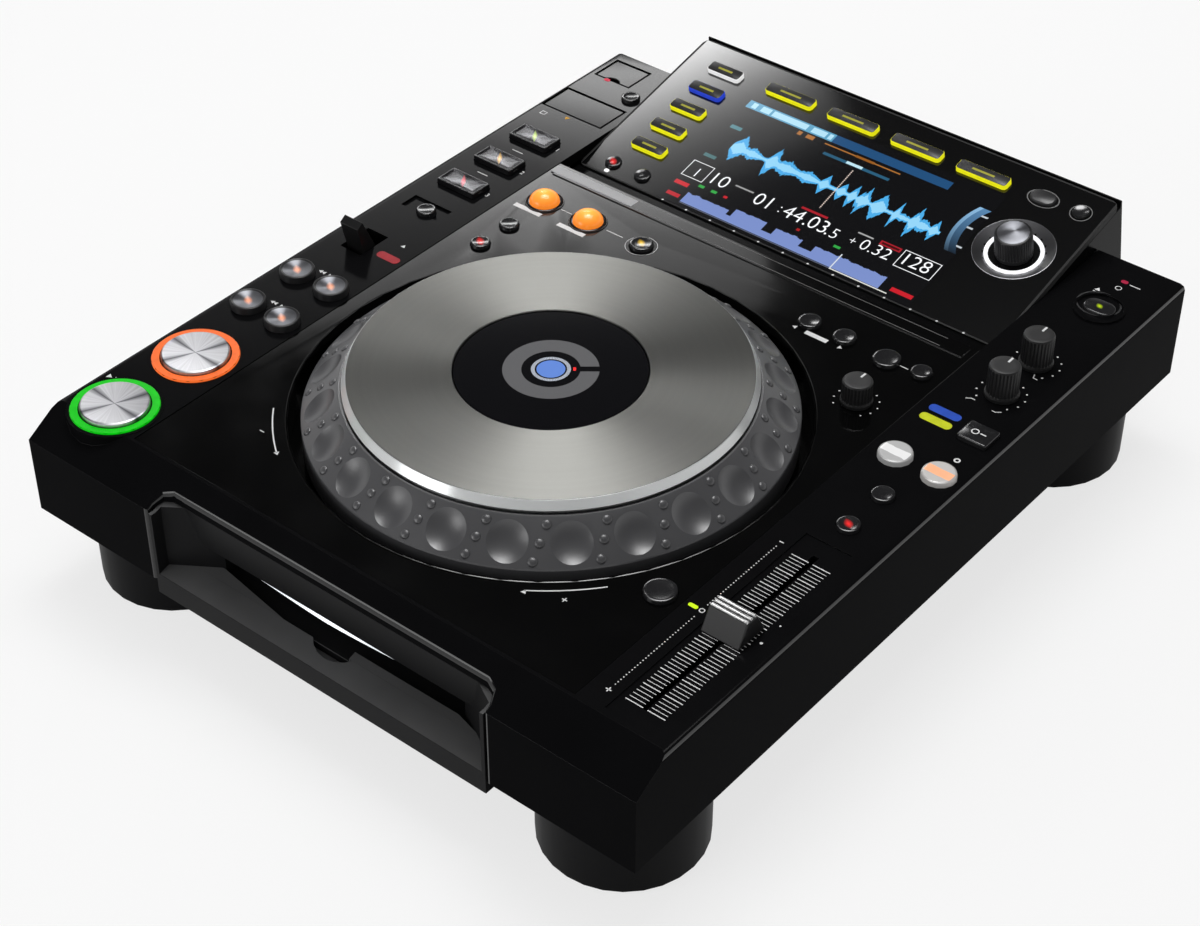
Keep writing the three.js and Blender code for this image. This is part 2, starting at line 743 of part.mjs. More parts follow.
// Deck plate: the gloss plate, the well under the jog wheel and the touch strip behind it
function deckPlate() {
  const half = DECK_W / 2 - GAP;
  const rear = DECK_REAR - GAP;
  const outer = WELL_R + WELL_WALL;
  const low = WELL_FLOOR - WELL_WALL;
  let body = box(-half, half, DECK_FRONT + GAP, rear, PLATE_UNDER, PLATE_TOP);
  body = body.add(disc(outer, low, PLATE_UNDER + GAP, JOG_STEPS, JOG_X, JOG_Y));
  body = body.add(
    disc(WELL_R + BEZEL_W, PLATE_UNDER, PLATE_TOP + BEZEL_H, JOG_STEPS, JOG_X, JOG_Y),
  );
  body = body.subtract(disc(WELL_R, WELL_FLOOR, TOP + OVERRUN, JOG_STEPS, JOG_X, JOG_Y));
  const barFront = rear - PLATE_END + STRIP_BAR_END - STRIP_BAR_D;
  const barTop = PLATE_TOP + STRIP_BAR_H;
  body = body.add(
    box(
      STRIP_BAR_END - half,
      half - STRIP_BAR_END,
      barFront,
      barFront + STRIP_BAR_D,
      PLATE_TOP - GAP,
      barTop,
    ),
  );
  for (const { xShare, yShare, size } of Object.values(DECK_PLACE)) {
    body = body.subtract(roundHole(size, ...deckXY([xShare, yShare]), PLATE_UNDER, PLATE_TOP));
  }
  return body.subtract(shaftHole(JOG_KNOB, ...deckXY(jogKnobShares), PLATE_UNDER, PLATE_TOP));
}

// Base plate with its rear upstand of sockets and the four feet
function basePlate() {
  const half = HALF_W - WALL - GAP;
  const inner = HALF_D - WALL - GAP;
  let body = box(-half, half, -inner, inner, BODY_BOTTOM, FLOOR);
  const notch = NOTCH_HALF + GAP;
  body = body.subtract(
    box(-notch, notch, FRONT, FRONT + LIP_D + GAP, BODY_BOTTOM - OVERRUN, FLOOR + OVERRUN),
  );
  const foot = [
    [0, 0],
    [FOOT_R - FOOT_EDGE, 0],
    [FOOT_R, FOOT_EDGE],
    [FOOT_R, BODY_BOTTOM + BASE_T / 2],
    [0, BODY_BOTTOM + BASE_T / 2],
  ];
  const hollowR = FOOT_R - FOOT_WALL;
  for (const x of [FOOT_SIDE - HALF_W, HALF_W - FOOT_SIDE]) {
    for (const y of [FRONT + FOOT_FRONT, REAR - FOOT_REAR]) {
      body = body.add(turned(foot, FOOT_STEPS, x, y));
      body = body.subtract(disc(hollowR, FOOT_WALL, FLOOR + OVERRUN, FOOT_STEPS, x, y));
    }
  }
  const wide = DECK_W / 2 - GAP;
  body = body.add(box(-wide, wide, REAR - WALL, REAR, BODY_BOTTOM, FLOOR + UPSTAND_H));
  body = body.add(box(-wide, wide, inner - GAP, REAR - WALL + GAP, BODY_BOTTOM, FLOOR));
  const centre = FLOOR + SOCKET_Z;
  body = body.add(
    box(-wide, wide, REAR - SOCKET_BLOCK_D, REAR - GAP, FLOOR - GAP, FLOOR + UPSTAND_H),
  );
  const sockets = [
    [INLET, socketXShares.inlet],
    [NETWORK, socketXShares.network],
    [COMPUTER, socketXShares.computer],
  ];
  for (const [{ w, h }, xShare] of sockets) {
    const x = xShare * wide;
    body = body.subtract(
      box(
        x - w / 2,
        x + w / 2,
        REAR - SOCKET_DEPTH,
        REAR + OVERRUN,
        centre - h / 2,
        centre + h / 2,
      ),
    );
  }
  const jack = [
    [JACK_BORE, -JACK_DEPTH],
    [JACK_R, -JACK_DEPTH],
    [JACK_R, JACK_L],
    [JACK_BORE, JACK_L],
    [JACK_BORE, -JACK_DEPTH],
  ];
  for (const xShare of jackXShares) {
    const x = xShare * wide;
    const bore = turnedRear(
      [
        [0, -JACK_DEPTH],
        [JACK_BORE, -JACK_DEPTH],
        [JACK_BORE, OVERRUN],
        [0, OVERRUN],
      ],
      x,
      REAR,
      centre,
    );
    body = body.subtract(bore).add(turnedRear(jack, x, REAR, centre));
  }
  return body;
}

// A profile of radius and reach turned about a line that points to the rear
function turnedRear(profile, x, y, z) {
  const points = profile.map(([r, reach]) => new THREE.Vector2(r, reach));
  const geometry = new THREE.LatheGeometry(points, SMALL_STEPS);
  geometry.translate(x, y, z);
  return solid(geometry);
}

// Slot guide: the upper jaw, the lip and the two cheeks that lead a disc in
function slotGuide() {
  const half = NOTCH_HALF - GAP;
  const low = BODY_BOTTOM;
  const back = FRONT + GUIDE_D;
  const jawFront = NOTCH_REAR + GAP;
  const jawTop = low + CHEEK_H + GAP;
  const slotFront = jawFront + JAW_SLOPE;
  const jaw = [
    [jawFront, jawTop],
    [slotFront, low + SLOT_TOP],
    [back, low + SLOT_TOP],
    [back, low + SLOT_TOP + JAW_T],
    [slotFront + JAW_T, low + SLOT_TOP + JAW_T],
    [jawFront + JAW_T, jawTop],
  ];
  const lipRear = FRONT + LIP_D;
  const lip = [
    [FRONT, low - LIP_DROP],
    [lipRear, low - LIP_DROP],
    [lipRear, low + LIP_REAR],
    [FRONT, low + LIP_FRONT],
  ];
  const floor = low + SLOT_BOTTOM;
  const scoopY = lipRear + SCOOP_R - SCOOP_D;
  const scoop = disc(SCOOP_R, floor - JAW_T, floor + JAW_T, KNOB_STEPS, JOG_X, scoopY);
  let body = acrossX(lip, -half, half).subtract(scoop);
  body = body.add(acrossX(jaw, -half, half));
  body = body.add(box(-half, half, lipRear - GAP, back, floor - JAW_T, floor));
  for (const side of [-1, 1]) {
    const cheek = [
      [side * half, FRONT],
      [side * (half - CHEEK_T), FRONT],
      [side * (half - CHEEK_T), FRONT + CHEEK_FLAT],
      [(side * SLOT_W) / 2, FRONT + CHEEK_END],
      [(side * SLOT_W) / 2, back],
      [side * half, back],
    ];
    if (side > 0) cheek.reverse();
    const wall = raised(cheek, low + LIP_FRONT - GAP, low + CHEEK_H);
    body = body.add(wall);
  }
  const under = [
    [FRONT, low - LIP_DROP],
    [back, low - LIP_DROP],
    [back, low + CHEEK_H - JAW_T],
    [jawFront + JAW_T, low + CHEEK_H],
    [jawFront, low + CHEEK_H + GAP],
    [FRONT + WALL, FACE_Z - WALL / 2 - GAP],
    [FRONT, FACE_Z - WALL / 2 - GAP],
  ];
  return body.intersect(acrossX(under, -half, half));
}

// Disc drive: a flat box with the disc's chamber open at the front, and the spindle in it
function discDrive() {
  const half = DRIVE_W / 2;
  const top = BODY_BOTTOM + DRIVE_TOP;
  const floor = BODY_BOTTOM + SLOT_BOTTOM;
  let body = box(-half, half, DRIVE_FRONT, DRIVE_REAR, INSIDE, top);
  body = body.subtract(
    box(
      -SLOT_W / 2,
      SLOT_W / 2,
      DRIVE_FRONT - OVERRUN,
      DRIVE_FRONT + DRIVE_REACH,
      floor,
      BODY_BOTTOM + SLOT_TOP,
    ),
  );
  const spindle = disc(
    SPINDLE_R,
    floor - DRIVE_WALL,
    floor + SPINDLE_H,
    SMALL_STEPS,
    0,
    DRIVE_FRONT + SPINDLE_Y,
  );
  return body.add(spindle);
}

// The face's own frame: X across, Y up the slope, Z out of the glass, zero at its middle
const faceMiddle = FACE_L / 2 - FACE_FRONT;
const faceY = FACE_CROSS + faceMiddle * Math.cos(TILT);
const faceZ = TOP + faceMiddle * Math.sin(TILT);
face.position.set(0, faceY, faceZ);
face.rotation.x = TILT;

// Height and place of a point that lies s up the slope and h below the glass
function onFace(s, h) {
  return [
    faceY + s * Math.cos(TILT) + h * Math.sin(TILT),
    faceZ + s * Math.sin(TILT) - h * Math.cos(TILT),
  ];
}

function housingProfile() {
  const seat = SCREEN_T + GAP;
  const [lipY, lipZ] = onFace(-FACE_L / 2 - GAP, seat);
  const [endY, endZ] = onFace(FACE_L / 2 + GAP, seat);
  const [backY, backZ] = onFace(FACE_L / 2 + REAR_LIP, 0);
  const chin = backY + CHIN_REACH;
  return [
    [HOUSING_FRONT, HOUSING_BOTTOM],
    [REAR + GAP, HOUSING_BOTTOM],
    [REAR + GAP, CHIN_BOTTOM],
    [chin - CHIN_EDGE, CHIN_BOTTOM],
    [chin, CHIN_BOTTOM + CHIN_EDGE],
    [backY, backZ],
    [endY, endZ + seat],
    [endY, endZ],
    [lipY, lipZ],
    [lipY, TOP - HOUSING_LIP],
    [HOUSING_FRONT, TOP - HOUSING_LIP],
  ];
}

// Display housing: a wedge that overhangs the chassis, open below and under the screen
function displayHousing() {
  const half = DECK_W / 2 - GAP;
  const outer = acrossX(housingProfile(), -half, half);
  const [frontY, frontZ] = onFace(-FACE_L / 2 + FACE_RIM, 0);
  const [rearY, rearZ] = onFace(FACE_L / 2 - HOUSING_RIM, 0);
  const hollow = [
    [HOUSING_FRONT + HOUSING_WALL, HOUSING_BOTTOM - OVERRUN],
    [REAR - HOUSING_WALL, HOUSING_BOTTOM - OVERRUN],
    [REAR - HOUSING_WALL, HOUSING_BOTTOM + HOUSING_WALL],
    [rearY, HOUSING_BOTTOM + HOUSING_WALL],
    [rearY, rearZ],
    [frontY, frontZ],
    [frontY, TOP - HOUSING_LIP - HOUSING_WALL],
    [HOUSING_FRONT + HOUSING_WALL, TOP - HOUSING_LIP - HOUSING_WALL],
  ];
  const inside = half - HOUSING_RIM;
  return outer.subtract(acrossX(hollow, -inside, inside));
}

// Display screen in the face's frame, with the keys' holes and the selector's dish
const squareKeys = {};
const roundKeys = {};
sourceKeyShares.rows.forEach((row, i) => {
  squareKeys["source_key_" + (i + 1)] = { size: SOURCE, at: faceXY([sourceKeyShares.x, row]) };
});
browseKeyShares.columns.forEach((column, i) => {
  squareKeys["browse_key_" + (i + 1)] = {
    size: BROWSE,
    at: faceXY([column, browseKeyShares.y]),
  };
});
squareKeys.back_button = { size: BACK, at: faceXY(backPlaceShares) };
roundKeys.tag_button = { size: SIDE, at: faceXY(tagPlaceShares) };
roundKeys.time_mode_button = { size: SIDE, at: faceXY(timePlaceShares) };
roundKeys.auto_cue_button = { size: SIDE, at: faceXY(autoPlaceShares) };

function displayScreen() {
  const half = DECK_W / 2 - GAP;
  const length = FACE_L - 2 * GAP;
  let body = raised(roundedOutline(0, 0, 2 * half, length, SCREEN_R), -SCREEN_T, 0);
  const [selectorX, selectorY] = faceXY(selectorPlaceShares);
  const boss = -SCREEN_T - DISH_BOSS;
  body = body.add(disc(DISH_R, boss, -GAP, KNOB_STEPS, selectorX, selectorY));
  const dish = [
    [0, -DISH_DEPTH],
    [DISH_FLOOR_R, -DISH_DEPTH],
    [DISH_R, 0],
    [DISH_R, OVERRUN],
    [0, OVERRUN],
  ];
  body = body.subtract(turned(dish, KNOB_STEPS, selectorX, selectorY));
  body = body.subtract(shaftHole(SELECTOR, selectorX, selectorY, boss, 0));
  for (const { size, at } of Object.values(squareKeys)) {
    body = body.subtract(squareHole(size, ...at, -SCREEN_T, 0));
  }
  for (const { size, at } of Object.values(roundKeys)) {
    body = body.subtract(roundHole(size, ...at, -SCREEN_T, 0));
  }
  return body;
}

// Jog ring: the dimpled finger ring, the web under the platter and the bearing sleeve
function jogRing() {
  const bore = HUB_R + SHAFT_GAP;
  const ringTop = TOP + RING_TOP;
  const webUnder = WEB_TOP - RING_WEB;
  const lip = PLATTER_R + SHAFT_GAP;
  const profile = [
    [bore, webUnder - SLEEVE_DROP],
    [bore + SLEEVE_T, webUnder - SLEEVE_DROP],
    [bore + SLEEVE_T, webUnder],
    [RING_TOP_R - RING_SKIN / 2, webUnder],
    [RING_R - RING_SKIN, RING_FOOT - RING_SKIN / 2],
    [RING_R - RING_SKIN, TOP - RING_SKIRT],
    [RING_R, TOP - RING_SKIRT],
    [RING_R, RING_FOOT],
    [RING_TOP_R, ringTop],
    [lip, ringTop],
    [lip, WEB_TOP],
    [bore, WEB_TOP],
    [bore, webUnder - SLEEVE_DROP],
  ];
  let body = turned(profile, JOG_STEPS, JOG_X, JOG_Y);
  const slope = Math.atan2(RING_TOP - RING_RISE, RING_R - RING_TOP_R);
  const middleR = (RING_R + RING_TOP_R) / 2;
  const middleZ = (RING_FOOT + ringTop) / 2;
  const sphere = (DIMPLE_R ** 2 + DIMPLE_DEPTH ** 2) / (2 * DIMPLE_DEPTH);
  const open = Math.asin(DIMPLE_R / sphere);
  const bowl = [];
  for (let i = 0; i <= BOWL_STEPS; i++) {
    const angle = (open * i) / BOWL_STEPS;
    const height = sphere - DIMPLE_DEPTH - sphere * Math.cos(angle);
    bowl.push(new THREE.Vector2(sphere * Math.sin(angle), height));
  }
  bowl.push(new THREE.Vector2(DIMPLE_R, OVERRUN), new THREE.Vector2(0, OVERRUN));
  for (let i = 0; i < DIMPLES; i++) {
    const cutter = new THREE.LatheGeometry(bowl, DIMPLE_STEPS);
    cutter.rotateX(Math.PI / 2);
    cutter.rotateY(Math.PI / 2 - slope);
    cutter.translate(middleR, 0, middleZ);
    cutter.rotateZ((2 * Math.PI * i) / DIMPLES);
    cutter.translate(JOG_X, JOG_Y, 0);
    body = body.subtract(solid(cutter));
  }
  return body;
}

// Jog platter: a spun metal cap with a bright chamfered rim and a hole for the window
function jogPlatter() {
  const hole = WINDOW_R + 2 * SHAFT_GAP;
  const foot = WEB_TOP + GAP;
  const top = TOP + PLATTER_TOP;
  const profile = [
    [hole, foot],
    [hole + PLATTER_SKIN, foot],
    [hole + PLATTER_SKIN, top - PLATTER_SKIN],
    [PLATTER_TOP_R - PLATTER_SKIN, top - PLATTER_SKIN],
    [PLATTER_TOP_R - PLATTER_SKIN, foot],
    [PLATTER_R, foot],
    [PLATTER_R, top - PLATTER_EDGE],
    [PLATTER_TOP_R, top],
    [hole, top],
    [hole, foot],
  ];
  return turned(profile, JOG_STEPS, JOG_X, JOG_Y);
}

// Jog hub: the fixed post with the round window on top of it
function jogHub() {
  const foot = WELL_FLOOR + GAP;
  const windowTop = TOP + PLATTER_TOP - WINDOW_DROP;
  const profile = [
    [0, foot],
    [HUB_FOOT_R, foot],
    [HUB_FOOT_R, foot + HUB_FOOT_T],
    [HUB_R, foot + HUB_FOOT_T],
    [HUB_R, windowTop - WINDOW_T],
    [WINDOW_R, windowTop - WINDOW_T],
    [WINDOW_R, windowTop],
    [0, windowTop],
  ];
  return turned(profile, JOG_STEPS / 2, JOG_X, JOG_Y);
}

// Direction lever: a tapered fin that rocks on a pin under the panel
function directionLever() {
  const pivotZ = UNDER - LEVER_PIVOT;
  const panel = TOP - pivotZ;
  const crest = panel + LEVER_RISE;
  const upright = [
    [-LEVER_FOOT / 2, -LEVER_HEEL],
    [LEVER_FOOT / 2, -LEVER_HEEL],
    [LEVER_FOOT / 2, panel],
    [LEVER_RIDGE / 2, crest],
    [-LEVER_RIDGE / 2, crest - LEVER_CREST],
    [-LEVER_FOOT / 2, panel],
  ];
  const leaning = upright.map(([depth, height]) => [
    leverY + depth * Math.cos(LEVER_LEAN) - height * Math.sin(LEVER_LEAN),
    pivotZ + depth * Math.sin(LEVER_LEAN) + height * Math.cos(LEVER_LEAN),
  ]);
  const half = LEVER_W / 2;
  const pin = box(
    leverX - half - LEVER_EAR,
    leverX + half + LEVER_EAR,
    leverY - LEVER_PIN / 2,
    leverY + LEVER_PIN / 2,
    pivotZ - LEVER_PIN / 2,
    pivotZ + LEVER_PIN / 2,
  );
  return acrossX(leaning, leverX - half, leverX + half).add(pin);
}

// A door over a bay, with a finger notch in its front edge where it has one
function door({ x, y }, size, notch) {
  const top = TOP - GAP / 2;
  let body = box(
    x - size.w / 2,
    x + size.w / 2,
    y - size.d / 2,
    y + size.d / 2,
    top - DOOR_T + GAP / 2,
    top,
  );
  if (notch) {
    const grip = disc(
      DOOR_NOTCH_R,
      top - DOOR_T - OVERRUN,
      top + OVERRUN,
      KNOB_STEPS,
      x,
      y - size.d / 2 - DOOR_NOTCH_R + DOOR_NOTCH,
    );
    body = body.subtract(grip);
  }
  return body;
}

// Tempo slider: a metal cap with sloped ends on a thin blade through the slot
function tempoSlider() {
  const foot = TOP - TRAY_T + CAP_LIFT;
  const outline = [
    [trayY - CAP_FOOT / 2, foot],
    [trayY + CAP_FOOT / 2, foot],
    [trayY + CAP_TOP / 2, foot + CAP_H],
    [trayY - CAP_TOP / 2, foot + CAP_H],
  ];
  const cap = acrossX(outline, trayX - CAP_W / 2, trayX + CAP_W / 2);
  const blade = box(
    trayX - BLADE_T / 2,
    trayX + BLADE_T / 2,
    trayY - BLADE_D / 2,
    trayY + BLADE_D / 2,
    TOP - BLADE_REACH,
    foot + GAP,
  );
  return cap.add(blade);
}

// Main board on four posts, with its larger chips
function mainBoard() {
  const low = FLOOR + BOARD_Z;
  const high = low + BOARD_T;
  let body = box(
    -BOARD_W / 2,
    BOARD_W / 2,
    BOARD_Y - BOARD_D / 2,
    BOARD_Y + BOARD_D / 2,
    low,
    high,
  );
  for (const xShare of postShares) {
    for (const yShare of postShares) {
      const x = (xShare * BOARD_W) / 2;
      const y = BOARD_Y + (yShare * BOARD_D) / 2;
      body = body.add(disc(POST_R, INSIDE, high + BOARD_T, SMALL_STEPS, x, y));
    }
  }
  for (const [xShare, yShare] of chipPlaceShares) {
    const x = (xShare * BOARD_W) / 2;
    const y = BOARD_Y + (yShare * BOARD_D) / 2;
    const half = CHIP_W / 2;
    body = body.add(box(x - half, x + half, y - half, y + half, high - GAP, high + CHIP_H));
  }
  return body;
}

function powerSupply() {
  return box(
    SUPPLY_SIDE - HALF_W,
    SUPPLY_RIGHT,
    SUPPLY_Y - SUPPLY_D / 2,
    SUPPLY_Y + SUPPLY_D / 2,
    INSIDE,
    INSIDE + SUPPLY_H,
  );
}

add("top_case", topCase(), "case");
add("deck_plate", deckPlate(), "gloss");
add("base_plate", basePlate(), "steel");
add("slot_guide", slotGuide(), "case");
add("disc_drive", discDrive(), "steel");
add("display_housing", displayHousing(), "case");
add("display_screen", displayScreen(), "gloss", face);
add("jog_hub", jogHub(), "gloss");
add("jog_ring", jogRing(), "ring");
add("jog_platter", jogPlatter(), "silver");
add("main_board", mainBoard(), "board");
add("power_supply", powerSupply(), "steel");

const roundColours = { play: "silver", cue: "silver", loop_in: "amber", loop_out: "amber" };
for (const [name, { xShare, yShare, size }] of Object.entries(PLACE)) {
  const body = roundButton(size, ...caseXY([xShare, yShare]), UNDER, TOP);
  add(name + "_button", body, roundColours[name] ?? "cap");
}
for (const [name, { xShare, yShare, size }] of Object.entries(DECK_PLACE)) {
  const body = roundButton(size, ...deckXY([xShare, yShare]), PLATE_UNDER, PLATE_TOP);
  add(name + "_button", body, roundColours[name] ?? "cap");
}
for (const [name, yShare] of Object.entries(PAD_PLACE)) {
  add(name + "_pad", squareButton(PAD, ...caseXY([padXShare, yShare]), UNDER, TOP), "cap");
}
add("eject_button", squareButton(EJECT, ejectX, ejectY, UNDER, TOP), "cap");
add("jog_mode_button", squareButton(MODE, modeX, modeY, UNDER, TOP), "cap");
for (const [name, shares] of Object.entries(speedKnobShares)) {
  add(name + "_knob", knob(SPEED_KNOB, ...caseXY(shares), UNDER, TOP), "cap");
}
const jogKnob = knob(JOG_KNOB, ...deckXY(jogKnobShares), PLATE_UNDER, PLATE_TOP);
add("jog_adjust_knob", jogKnob, "cap");
add("direction_lever", directionLever(), "cap");
add("card_door", door(bays.card, CARD, false), "case");
add("usb_cover", door(bays.usb, USB, true), "case");
add("tempo_slider", tempoSlider(), "lit");
for (const [name, { size, at }] of Object.entries(squareKeys)) {
  add(name, squareButton(size, ...at, -SCREEN_T, 0), "cap", face);
}
for (const [name, { size, at }] of Object.entries(roundKeys)) {
  add(name, roundButton(size, ...at, -SCREEN_T, 0), "cap", face);
}
const dishFloor = -DISH_DEPTH;
const selectorAt = faceXY(selectorPlaceShares);
add(
  "selector_knob",
  knob(SELECTOR, ...selectorAt, -SCREEN_T - DISH_BOSS, dishFloor),
  "cap",
  face,
);

// The origin lies under the middle of the whole outline, on the surface it stands on
all.add(face);
const outline = new THREE.Box3().setFromObject(all);
all.position.y = -(outline.min.y + outline.max.y) / 2;
const part = new THREE.Group();
part.add(all);
part.updateMatrixWorld(true);

export default part;
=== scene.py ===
import json
import math

import bmesh
import bpy
from mathutils import Matrix, Vector

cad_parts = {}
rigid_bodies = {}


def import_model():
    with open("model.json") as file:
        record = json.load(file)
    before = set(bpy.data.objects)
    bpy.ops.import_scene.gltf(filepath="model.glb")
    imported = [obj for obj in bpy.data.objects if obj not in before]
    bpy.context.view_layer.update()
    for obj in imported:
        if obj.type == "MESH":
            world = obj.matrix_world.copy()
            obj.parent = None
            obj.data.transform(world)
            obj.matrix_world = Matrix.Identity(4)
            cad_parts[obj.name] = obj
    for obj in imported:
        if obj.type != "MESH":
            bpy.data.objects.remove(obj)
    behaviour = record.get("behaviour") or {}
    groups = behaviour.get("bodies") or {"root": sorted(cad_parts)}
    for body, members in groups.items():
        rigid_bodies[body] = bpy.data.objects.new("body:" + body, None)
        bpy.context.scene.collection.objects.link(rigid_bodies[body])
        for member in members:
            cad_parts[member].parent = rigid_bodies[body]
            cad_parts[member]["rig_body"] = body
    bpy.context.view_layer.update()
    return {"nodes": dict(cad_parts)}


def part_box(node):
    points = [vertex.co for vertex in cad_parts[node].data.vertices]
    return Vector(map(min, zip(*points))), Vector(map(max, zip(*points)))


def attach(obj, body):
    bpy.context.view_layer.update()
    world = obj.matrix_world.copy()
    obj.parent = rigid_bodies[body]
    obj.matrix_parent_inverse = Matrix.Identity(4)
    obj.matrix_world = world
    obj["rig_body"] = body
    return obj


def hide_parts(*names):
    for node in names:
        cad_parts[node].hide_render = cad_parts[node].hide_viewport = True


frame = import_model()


# ---------------------------------------------------------------- Studio
# A camera at standing height in front and to the right of the player, a pale floor, a
# soft lamp overhead, and three lit cards that the black surfaces mirror.

CAMERA_AT = Vector((0.51567, -0.65745, 0.69255))
CAMERA_PITCH = math.radians(39.144)
CAMERA_YAW = math.radians(39.356)
SENSOR_MM = 36
LENS_MM = 75.21
FLOOR_SIZE = 14
FLOOR_GREY = 0.86
SHADOW_SHARE = 0.27
CEILING_GREY = 0.03
CEILING_SINE = (0.12, 0.42)
AMBIENT = 0.42


class Number:
    """A number that changes over a surface. Sums, products and comparisons add Math nodes."""

    def __init__(self, finish, socket):
        self.finish = finish
        self.socket = socket

    def math(self, operation, *others):
        inputs = dict(enumerate((self, *others)))
        return self.finish.node("ShaderNodeMath", {"operation": operation}, inputs)

    def __add__(self, other):
        return self.math("ADD", other)

    def __radd__(self, other):
        return self.math("ADD", other)

    def __sub__(self, other):
        return self.math("SUBTRACT", other)

    def __rsub__(self, other):
        return self.math("MULTIPLY", -1).math("ADD", other)

    def __mul__(self, other):
        return self.math("MULTIPLY", other)

    def __rmul__(self, other):
        return self.math("MULTIPLY", other)

    def __truediv__(self, other):
        return self.math("DIVIDE", other)

    def __gt__(self, other):
        return self.math("GREATER_THAN", other)

    def __lt__(self, other):
        return self.math("LESS_THAN", other)

    def __abs__(self):
        return self.math("ABSOLUTE")

    def between(self, low, high):
        return (self > low) * (self < high)

    def held(self):
        return self.math("MINIMUM", 1).math("MAXIMUM", 0)

    def length_with(self, other):
        return (self * self + other * other).math("SQRT")


class Finish:
    """A surface finish while it is being mixed: the nodes of a material or of the world."""

    def __init__(self, holder):
        holder.use_nodes = True
        self.holder = holder
        self.tree = holder.node_tree

    def node(self, kind, settings=None, inputs=None, out=0):
        made = self.tree.nodes.new(kind)
        for key, value in (settings or {}).items():
            setattr(made, key, value)
        for key, value in (inputs or {}).items():
            self.join(value, made.inputs[key])
        return Number(self, made.outputs[out]) if len(made.outputs) else made

    def join(self, value, socket):
        if isinstance(value, Number):
            self.tree.links.new(value.socket, socket)
        elif socket.type == "RGBA" and len(value) == 3:
            socket.default_value = (*value, 1)
        else:
            socket.default_value = value

    def blend(self, share, low, high):
        """A colour between two others."""
        return self.node("ShaderNodeMix", {"data_type": "RGBA"}, {0: share, 6: low, 7: high}, 2)

    def seen(self):
        """1 for what the camera sees straight, in a polished surface or through glass."""
        path = self.tree.nodes.new("ShaderNodeLightPath")
        camera, glossy, through = (
            Number(self, path.outputs[name])
            for name in ("Is Camera Ray", "Is Glossy Ray", "Is Transmission Ray")
        )
        return camera, (glossy + through).held()


def bare():
    bpy.ops.object.select_all(action="DESELECT")


forward = Vector((
    -math.sin(CAMERA_YAW) * math.cos(CAMERA_PITCH),
    math.cos(CAMERA_YAW) * math.cos(CAMERA_PITCH),
    -math.sin(CAMERA_PITCH),
))
bare()
facing = forward.to_track_quat("-Z", "Y").to_euler()
bpy.ops.object.camera_add(location=CAMERA_AT, rotation=facing)
camera = bpy.context.object
camera.name = "camera"
camera.data.sensor_width = SENSOR_MM
camera.data.lens = LENS_MM
bpy.context.scene.camera = camera
bpy.context.scene.view_settings.view_transform = "Standard"

world = bpy.data.worlds.new("studio")
bpy.context.scene.world = world
air = Finish(world)
air.tree.nodes.clear()
sees, mirrors = air.seen()
ray = air.node("ShaderNodeTexCoord", out=0)
height = air.node("ShaderNodeSeparateXYZ", inputs={0: ray}, out=2)
ceiling = ((height - CEILING_SINE[0]) / (CEILING_SINE[1] - CEILING_SINE[0])).held()
mirrored = 1 - ceiling * (1 - CEILING_GREY)
level = sees + (1 - sees) * (mirrors * mirrored + (1 - mirrors) * AMBIENT)
background = air.node("ShaderNodeBackground", inputs={"Color": (1, 1, 1), "Strength": level})
air.node("ShaderNodeOutputWorld", inputs={0: background})

bare()
bpy.ops.mesh.primitive_plane_add(size=FLOOR_SIZE, location=(0, 0, 0))
floor = bpy.context.object
floor.name = "studio_floor"
paper = Finish(bpy.data.materials.new("pale_floor"))
paper.tree.nodes.clear()
sees, mirrors = paper.seen()
matte = paper.node("ShaderNodeBsdfDiffuse", inputs={"Color": (FLOOR_GREY,) * 3})
bright = paper.node("ShaderNodeEmission", inputs={"Color": (1, 1, 1), "Strength": 1})
share = (sees + mirrors).held() * (1 - SHADOW_SHARE)
mixed = paper.node("ShaderNodeMixShader", inputs={0: share, 1: matte, 2: bright})
paper.node("ShaderNodeOutputMaterial", inputs={0: mixed})
floor.data.materials.append(paper.holder)


def lamp(name, place, aim, size, power):
    bare()
    turn = (Vector(aim) - Vector(place)).to_track_quat("-Z", "Y").to_euler()
    bpy.ops.object.light_add(type="AREA", location=place, rotation=turn)
    made = bpy.context.object
    made.name = name
    made.data.shape = "RECTANGLE"
    made.data.size, made.data.size_y = size
    made.data.energy = power
    made.visible_camera = False
    return made


lamp("overhead_softbox", place=(-0.25, 0.35, 1.7), aim=(0, 0, 0.08), size=(1.1, 0.8), power=17)
lamp("front_fill", place=(-0.7, -1.5, 0.7), aim=(0, 0, 0.05), size=(0.8, 0.6), power=5)

CARD_REACH = 6


